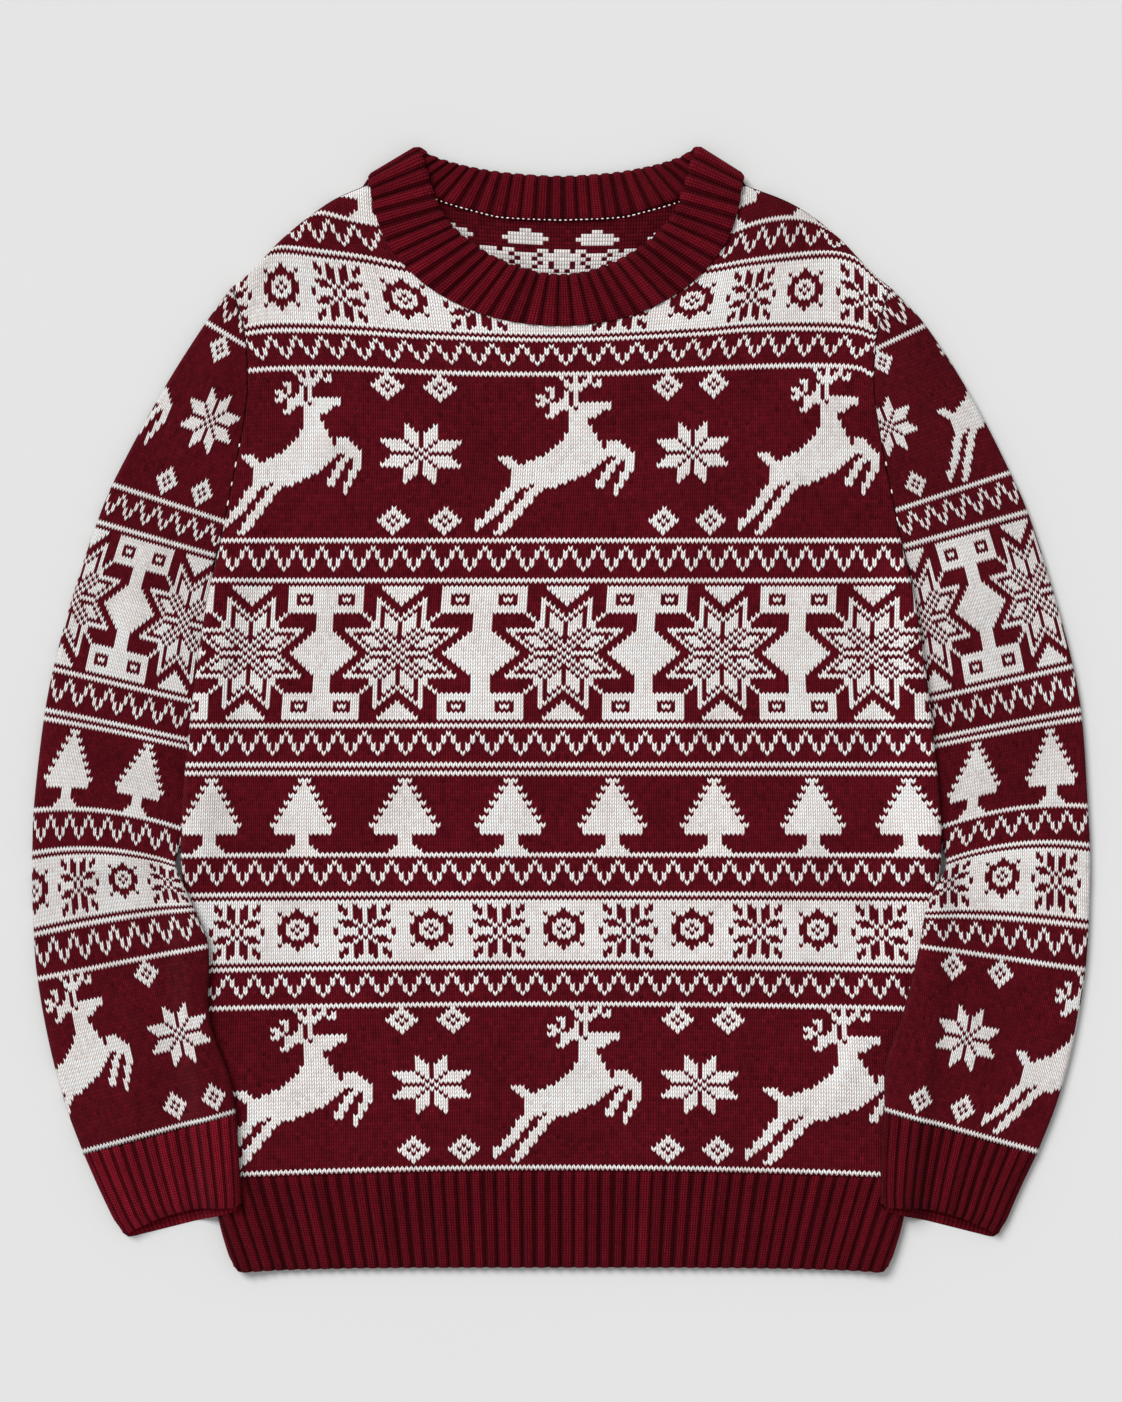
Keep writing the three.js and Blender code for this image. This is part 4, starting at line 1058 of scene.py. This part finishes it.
def stitch_nodes():
    """A node group that lays short rounded stitches along a line."""
    group = bpy.data.node_groups.new("linking_stitches", "GeometryNodeTree")
    sockets = (
        ("Line", "INPUT", "NodeSocketGeometry"), ("Spacing", "INPUT", "NodeSocketFloat"),
        ("Stitch Length", "INPUT", "NodeSocketFloat"), ("Stitch Width", "INPUT", "NodeSocketFloat"),
        ("Unevenness", "INPUT", "NodeSocketFloat"), ("Seed", "INPUT", "NodeSocketInt"),
        ("Yarn", "INPUT", "NodeSocketMaterial"), ("Stitches", "OUTPUT", "NodeSocketGeometry"),
    )
    for name, way, kind in sockets:
        group.interface.new_socket(name, in_out=way, socket_type=kind)

    n = Nodes(group)
    given = n.add("NodeGroupInput").outputs
    line = n.add("GeometryNodeMeshToCurve", {0: given["Line"]})
    spaced = n.add("GeometryNodeResampleCurve", {"Curve": line.outputs[0], "Length": given["Spacing"]}, mode="LENGTH")
    ball = n.add("GeometryNodeMeshUVSphere", {"Segments": 8, "Rings": 6, "Radius": 0.5})
    tangent = n.add("GeometryNodeInputTangent")
    turn = n.add("FunctionNodeAlignRotationToVector", {"Vector": tangent.outputs[0]}, axis="X")
    ends = {"Min": n.math("SUBTRACT", 1, given["Unevenness"]), "Max": n.math("ADD", 1, given["Unevenness"])}
    uneven = n.add("FunctionNodeRandomValue", {"Seed": given["Seed"]}, data_type="FLOAT")
    for slot in uneven.inputs:
        if slot.type == "VALUE" and slot.name in ends:
            group.links.new(ends[slot.name], slot)
    value = next(s for s in uneven.outputs if s.type == "VALUE" and s.enabled)
    width = given["Stitch Width"]
    length = n.math("MULTIPLY", given["Stitch Length"], value)
    size = n.add("ShaderNodeCombineXYZ", {"X": length, "Y": width, "Z": width})
    placed = n.add("GeometryNodeInstanceOnPoints", {
        "Points": spaced.outputs[0], "Instance": ball.outputs["Mesh"],
        "Rotation": turn.outputs[0], "Scale": size.outputs[0],
    })
    real = n.add("GeometryNodeRealizeInstances", {0: placed.outputs[0]})
    dressed = n.add("GeometryNodeSetMaterial", {"Geometry": real.outputs[0], "Material": given["Yarn"]})
    n.add("NodeGroupOutput", {0: dressed.outputs[0]})
    return group


def stitch_line(name, lines, values, material):
    """A plain mesh of stitches along lines of points in millimetres."""
    group = bpy.data.node_groups.get("linking_stitches") or stitch_nodes()
    mesh = bpy.data.meshes.new(name)
    points, edges = [], []
    for line in lines:
        base = len(points)
        points.extend([tuple(c * 0.001 for c in p) for p in line])
        edges.extend((base + i, base + i + 1) for i in range(len(line) - 1))
    mesh.from_pydata(points, edges, [])
    piece = bpy.data.objects.new(name, mesh)
    bpy.context.scene.collection.objects.link(piece)
    modifier = piece.modifiers.new("stitches", "NODES")
    modifier.node_group = group
    sockets = {item.name: item.identifier for item in group.interface.items_tree if item.in_out == "INPUT"}
    for key, value in {**values, "Yarn": material}.items():
        modifier[sockets[key]] = value
    bpy.context.view_layer.update()
    evaluated = piece.evaluated_get(bpy.context.evaluated_depsgraph_get())
    plain = bpy.data.meshes.new_from_object(evaluated)
    piece.modifiers.clear()
    piece.data = plain
    plain.name = name
    return piece


def neck_line():
    """Points of the back neck seam, just over the band."""
    x = np.linspace(-84, 80, 61)
    y = through(NECK_SEAM)(np.abs(x))
    return [(a, b, NECK_SEAM_Z) for a, b in zip(x, y)]


def armhole_line(side, low, high):
    """Points of an armhole's seam between two heights, just over the cloth."""
    y = np.linspace(low, high, 50)
    x = side_at(y) + 0.3
    return [(side * a, b, front_top(side * a, b) + 0.1) for a, b in zip(x, y)]


# Settings and operators

# The stage, in metres, and the camera's sensor in millimetres
FLOOR_REACH = 30.0
FLOOR_GAP = 0.0002
KEY_PLACE = (-1.3, 1.5, 2.2)
CAMERA_Y = 0.0062
SENSOR_WIDTH = 36


class KnitSettings(bpy.types.PropertyGroup):
    wine: FloatVectorProperty(name="Wine yarn", description="Colour of the main yarn, linear",
                              subtype="COLOR", default=(0.113, 0.0050, 0.0110), min=0, max=1)
    white: FloatVectorProperty(name="White yarn", description="Colour of the pattern's yarn, linear",
                               subtype="COLOR", default=(1.0, 0.931, 0.904), min=0, max=1)
    rib_wine: FloatVectorProperty(name="Ribbing yarn", description="Colour of the ribbing, linear",
                                  subtype="COLOR", default=(0.150, 0.0053, 0.0130), min=0, max=1)
    slope: FloatProperty(name="Stitch slope", description="How far each stitch's arms rise, in rows",
                         default=0.35, min=0, max=0.6)
    rib_height: FloatProperty(name="Rib height", description="Height of the ribs in millimetres",
                              default=1.7, min=0, max=3)
    hem_slant: FloatProperty(name="Hem slant", description="How far the end ribs lean in, in millimetres",
                             default=22, min=0, max=40)
    bump: FloatProperty(name="Stitch relief", description="Strength of the stitches' relief",
                        default=0.9, min=0, max=1)
    sheen: FloatProperty(name="Fuzz", description="Soft sheen of the yarn's fibres",
                         default=0.01, min=0, max=1)


class StageSettings(bpy.types.PropertyGroup):
    camera_height: FloatProperty(name="Camera height", description="Height of the camera over the table",
                                 default=2.5, min=0.5, max=6, unit="LENGTH")
    lens: FloatProperty(name="Lens", description="Focal length in millimetres", default=98.8, min=20, max=200)
    key_power: FloatProperty(name="Key light", description="Strength of the soft light from the upper left",
                             default=3.05, min=0, max=20)
    softness: FloatProperty(name="Softness", description="Angle that the soft light spreads over",
                            default=0.5, min=0, max=3, unit="ROTATION")
    fill: FloatProperty(name="Fill light", description="Strength of the light from all round",
                        default=0.59, min=0, max=2)
    floor: FloatVectorProperty(name="Floor", description="Colour of the table, linear", subtype="COLOR",
                               default=(0.593, 0.596, 0.593), min=0, max=1)


class KnitBody(bpy.types.Operator):
    """Knit the front and the back of the sweater"""
    bl_idname = "sweater.body"
    bl_label = "Knit the body"

    def execute(self, context):
        settings = context.scene.sweater_knit
        front = make_front(settings)
        dress(front, "front")
        back = make_back(settings)
        dress(back, "back")
        return {"FINISHED"}


class KnitSleeves(bpy.types.Operator):
    """Knit both sleeves"""
    bl_idname = "sweater.sleeves"
    bl_label = "Knit the sleeves"

    def execute(self, context):
        for name in SLEEVES:
            piece = make_sleeve(name, context.scene.sweater_knit)
            dress(piece, f"sleeve_{name}")
        return {"FINISHED"}


class KnitCuffs(bpy.types.Operator):
    """Knit the ribbed cuffs"""
    bl_idname = "sweater.cuffs"
    bl_label = "Knit the cuffs"

    def execute(self, context):
        for name in SLEEVES:
            piece = make_cuff(name, context.scene.sweater_knit)
            dress(piece, f"cuff_{name}")
        return {"FINISHED"}


class KnitHem(bpy.types.Operator):
    """Knit the ribbed hem"""
    bl_idname = "sweater.hem"
    bl_label = "Knit the hem"

    def execute(self, context):
        piece = make_hem(context.scene.sweater_knit)
        dress(piece, "hem_rib")
        return {"FINISHED"}


class KnitCollar(bpy.types.Operator):
    """Knit the ribbed collar"""
    bl_idname = "sweater.collar"
    bl_label = "Knit the collar"

    def execute(self, context):
        piece = make_collar(context.scene.sweater_knit)
        dress(piece, "collar")
        return {"FINISHED"}


class LinkSeams(bpy.types.Operator):
    """Lay the white linking stitches at the neck and the armholes"""
    bl_idname = "sweater.seams"
    bl_label = "Link the seams"

    def execute(self, context):
        yarn = plain_material("linking_yarn", (0.82, 0.78, 0.75), 0.9, 900, 0.08)
        lines = {
            "neck_stitches": ([neck_line()], 0.0034, 0.0018, 0.0009, 21),
            "armhole_stitches": ([armhole_line(-1, 122, 172), armhole_line(1, 124, 160)],
                                 0.0125, 0.0034, 0.0010, 23),
        }
        for name, (paths, spacing, length, width, seed) in lines.items():
            values = {"Spacing": spacing, "Stitch Length": length, "Stitch Width": width,
                      "Unevenness": 0.3, "Seed": seed}
            piece = stitch_line(name, paths, values, yarn)
            if not len(piece.data.polygons):
                raise RuntimeError(f"{name} has no stitches")
            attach(piece, "root")
        return {"FINISHED"}


class SetStage(bpy.types.Operator):
    """Set the table, the soft light and the camera over it"""
    bl_idname = "sweater.stage"
    bl_label = "Set the stage"

    def execute(self, context):
        scene = context.scene
        settings = scene.sweater_stage
        mesh = bpy.data.meshes.new("floor")
        corners = [(x * FLOOR_REACH, y * FLOOR_REACH, 0) for x, y in ((-1, -1), (1, -1), (1, 1), (-1, 1))]
        mesh.from_pydata(corners, [], [(0, 1, 2, 3)])
        mesh.materials.append(plain_material("floor_paper", tuple(settings.floor), 0.95, 3, 0.01))
        floor = bpy.data.objects.new("floor", mesh)
        floor.location.z = -FLOOR_GAP
        scene.collection.objects.link(floor)
        world = bpy.data.worlds.new("studio")
        world.use_nodes = True
        background = world.node_tree.nodes["Background"]
        background.inputs["Color"].default_value = (1, 1, 1, 1)
        background.inputs["Strength"].default_value = settings.fill
        scene.world = world
        light = bpy.data.lights.new("key", "SUN")
        light.angle = settings.softness
        light.energy = settings.key_power
        key = bpy.data.objects.new("key", light)
        key.location = KEY_PLACE
        key.rotation_euler = (-key.location).to_track_quat("-Z", "Y").to_euler()
        scene.collection.objects.link(key)
        data = bpy.data.cameras.new("camera")
        data.lens = settings.lens
        data.sensor_width = SENSOR_WIDTH
        camera = bpy.data.objects.new("camera", data)
        camera.location = (0, CAMERA_Y, settings.camera_height)
        scene.collection.objects.link(camera)
        scene.camera = camera
        scene.view_settings.view_transform = "Standard"
        return {"FINISHED"}


class SweaterPanel(bpy.types.Panel):
    """Settings and steps of the sweater"""
    bl_idname = "VIEW3D_PT_sweater"
    bl_label = "Sweater"
    bl_space_type = "VIEW_3D"
    bl_region_type = "UI"
    bl_category = "Sweater"

    def draw(self, context):
        for group in (context.scene.sweater_knit, context.scene.sweater_stage):
            for name in group.__annotations__:
                self.layout.prop(group, name)
        for operator in OPERATORS:
            self.layout.operator(operator.bl_idname)


OPERATORS = (KnitBody, KnitSleeves, KnitCuffs, KnitHem, KnitCollar, LinkSeams, SetStage)
CLASSES = (KnitSettings, StageSettings, *OPERATORS, SweaterPanel)


def register():
    for item in CLASSES:
        bpy.utils.register_class(item)
    bpy.types.Scene.sweater_knit = PointerProperty(type=KnitSettings)
    bpy.types.Scene.sweater_stage = PointerProperty(type=StageSettings)


def unregister():
    del bpy.types.Scene.sweater_stage
    del bpy.types.Scene.sweater_knit
    for item in reversed(CLASSES):
        bpy.utils.unregister_class(item)


def main():
    register()
    bpy.ops.sweater.stage()
    bpy.ops.sweater.body()
    bpy.ops.sweater.sleeves()
    bpy.ops.sweater.cuffs()
    bpy.ops.sweater.hem()
    bpy.ops.sweater.collar()
    bpy.ops.sweater.seams()


if __name__ == "__main__":
    main()
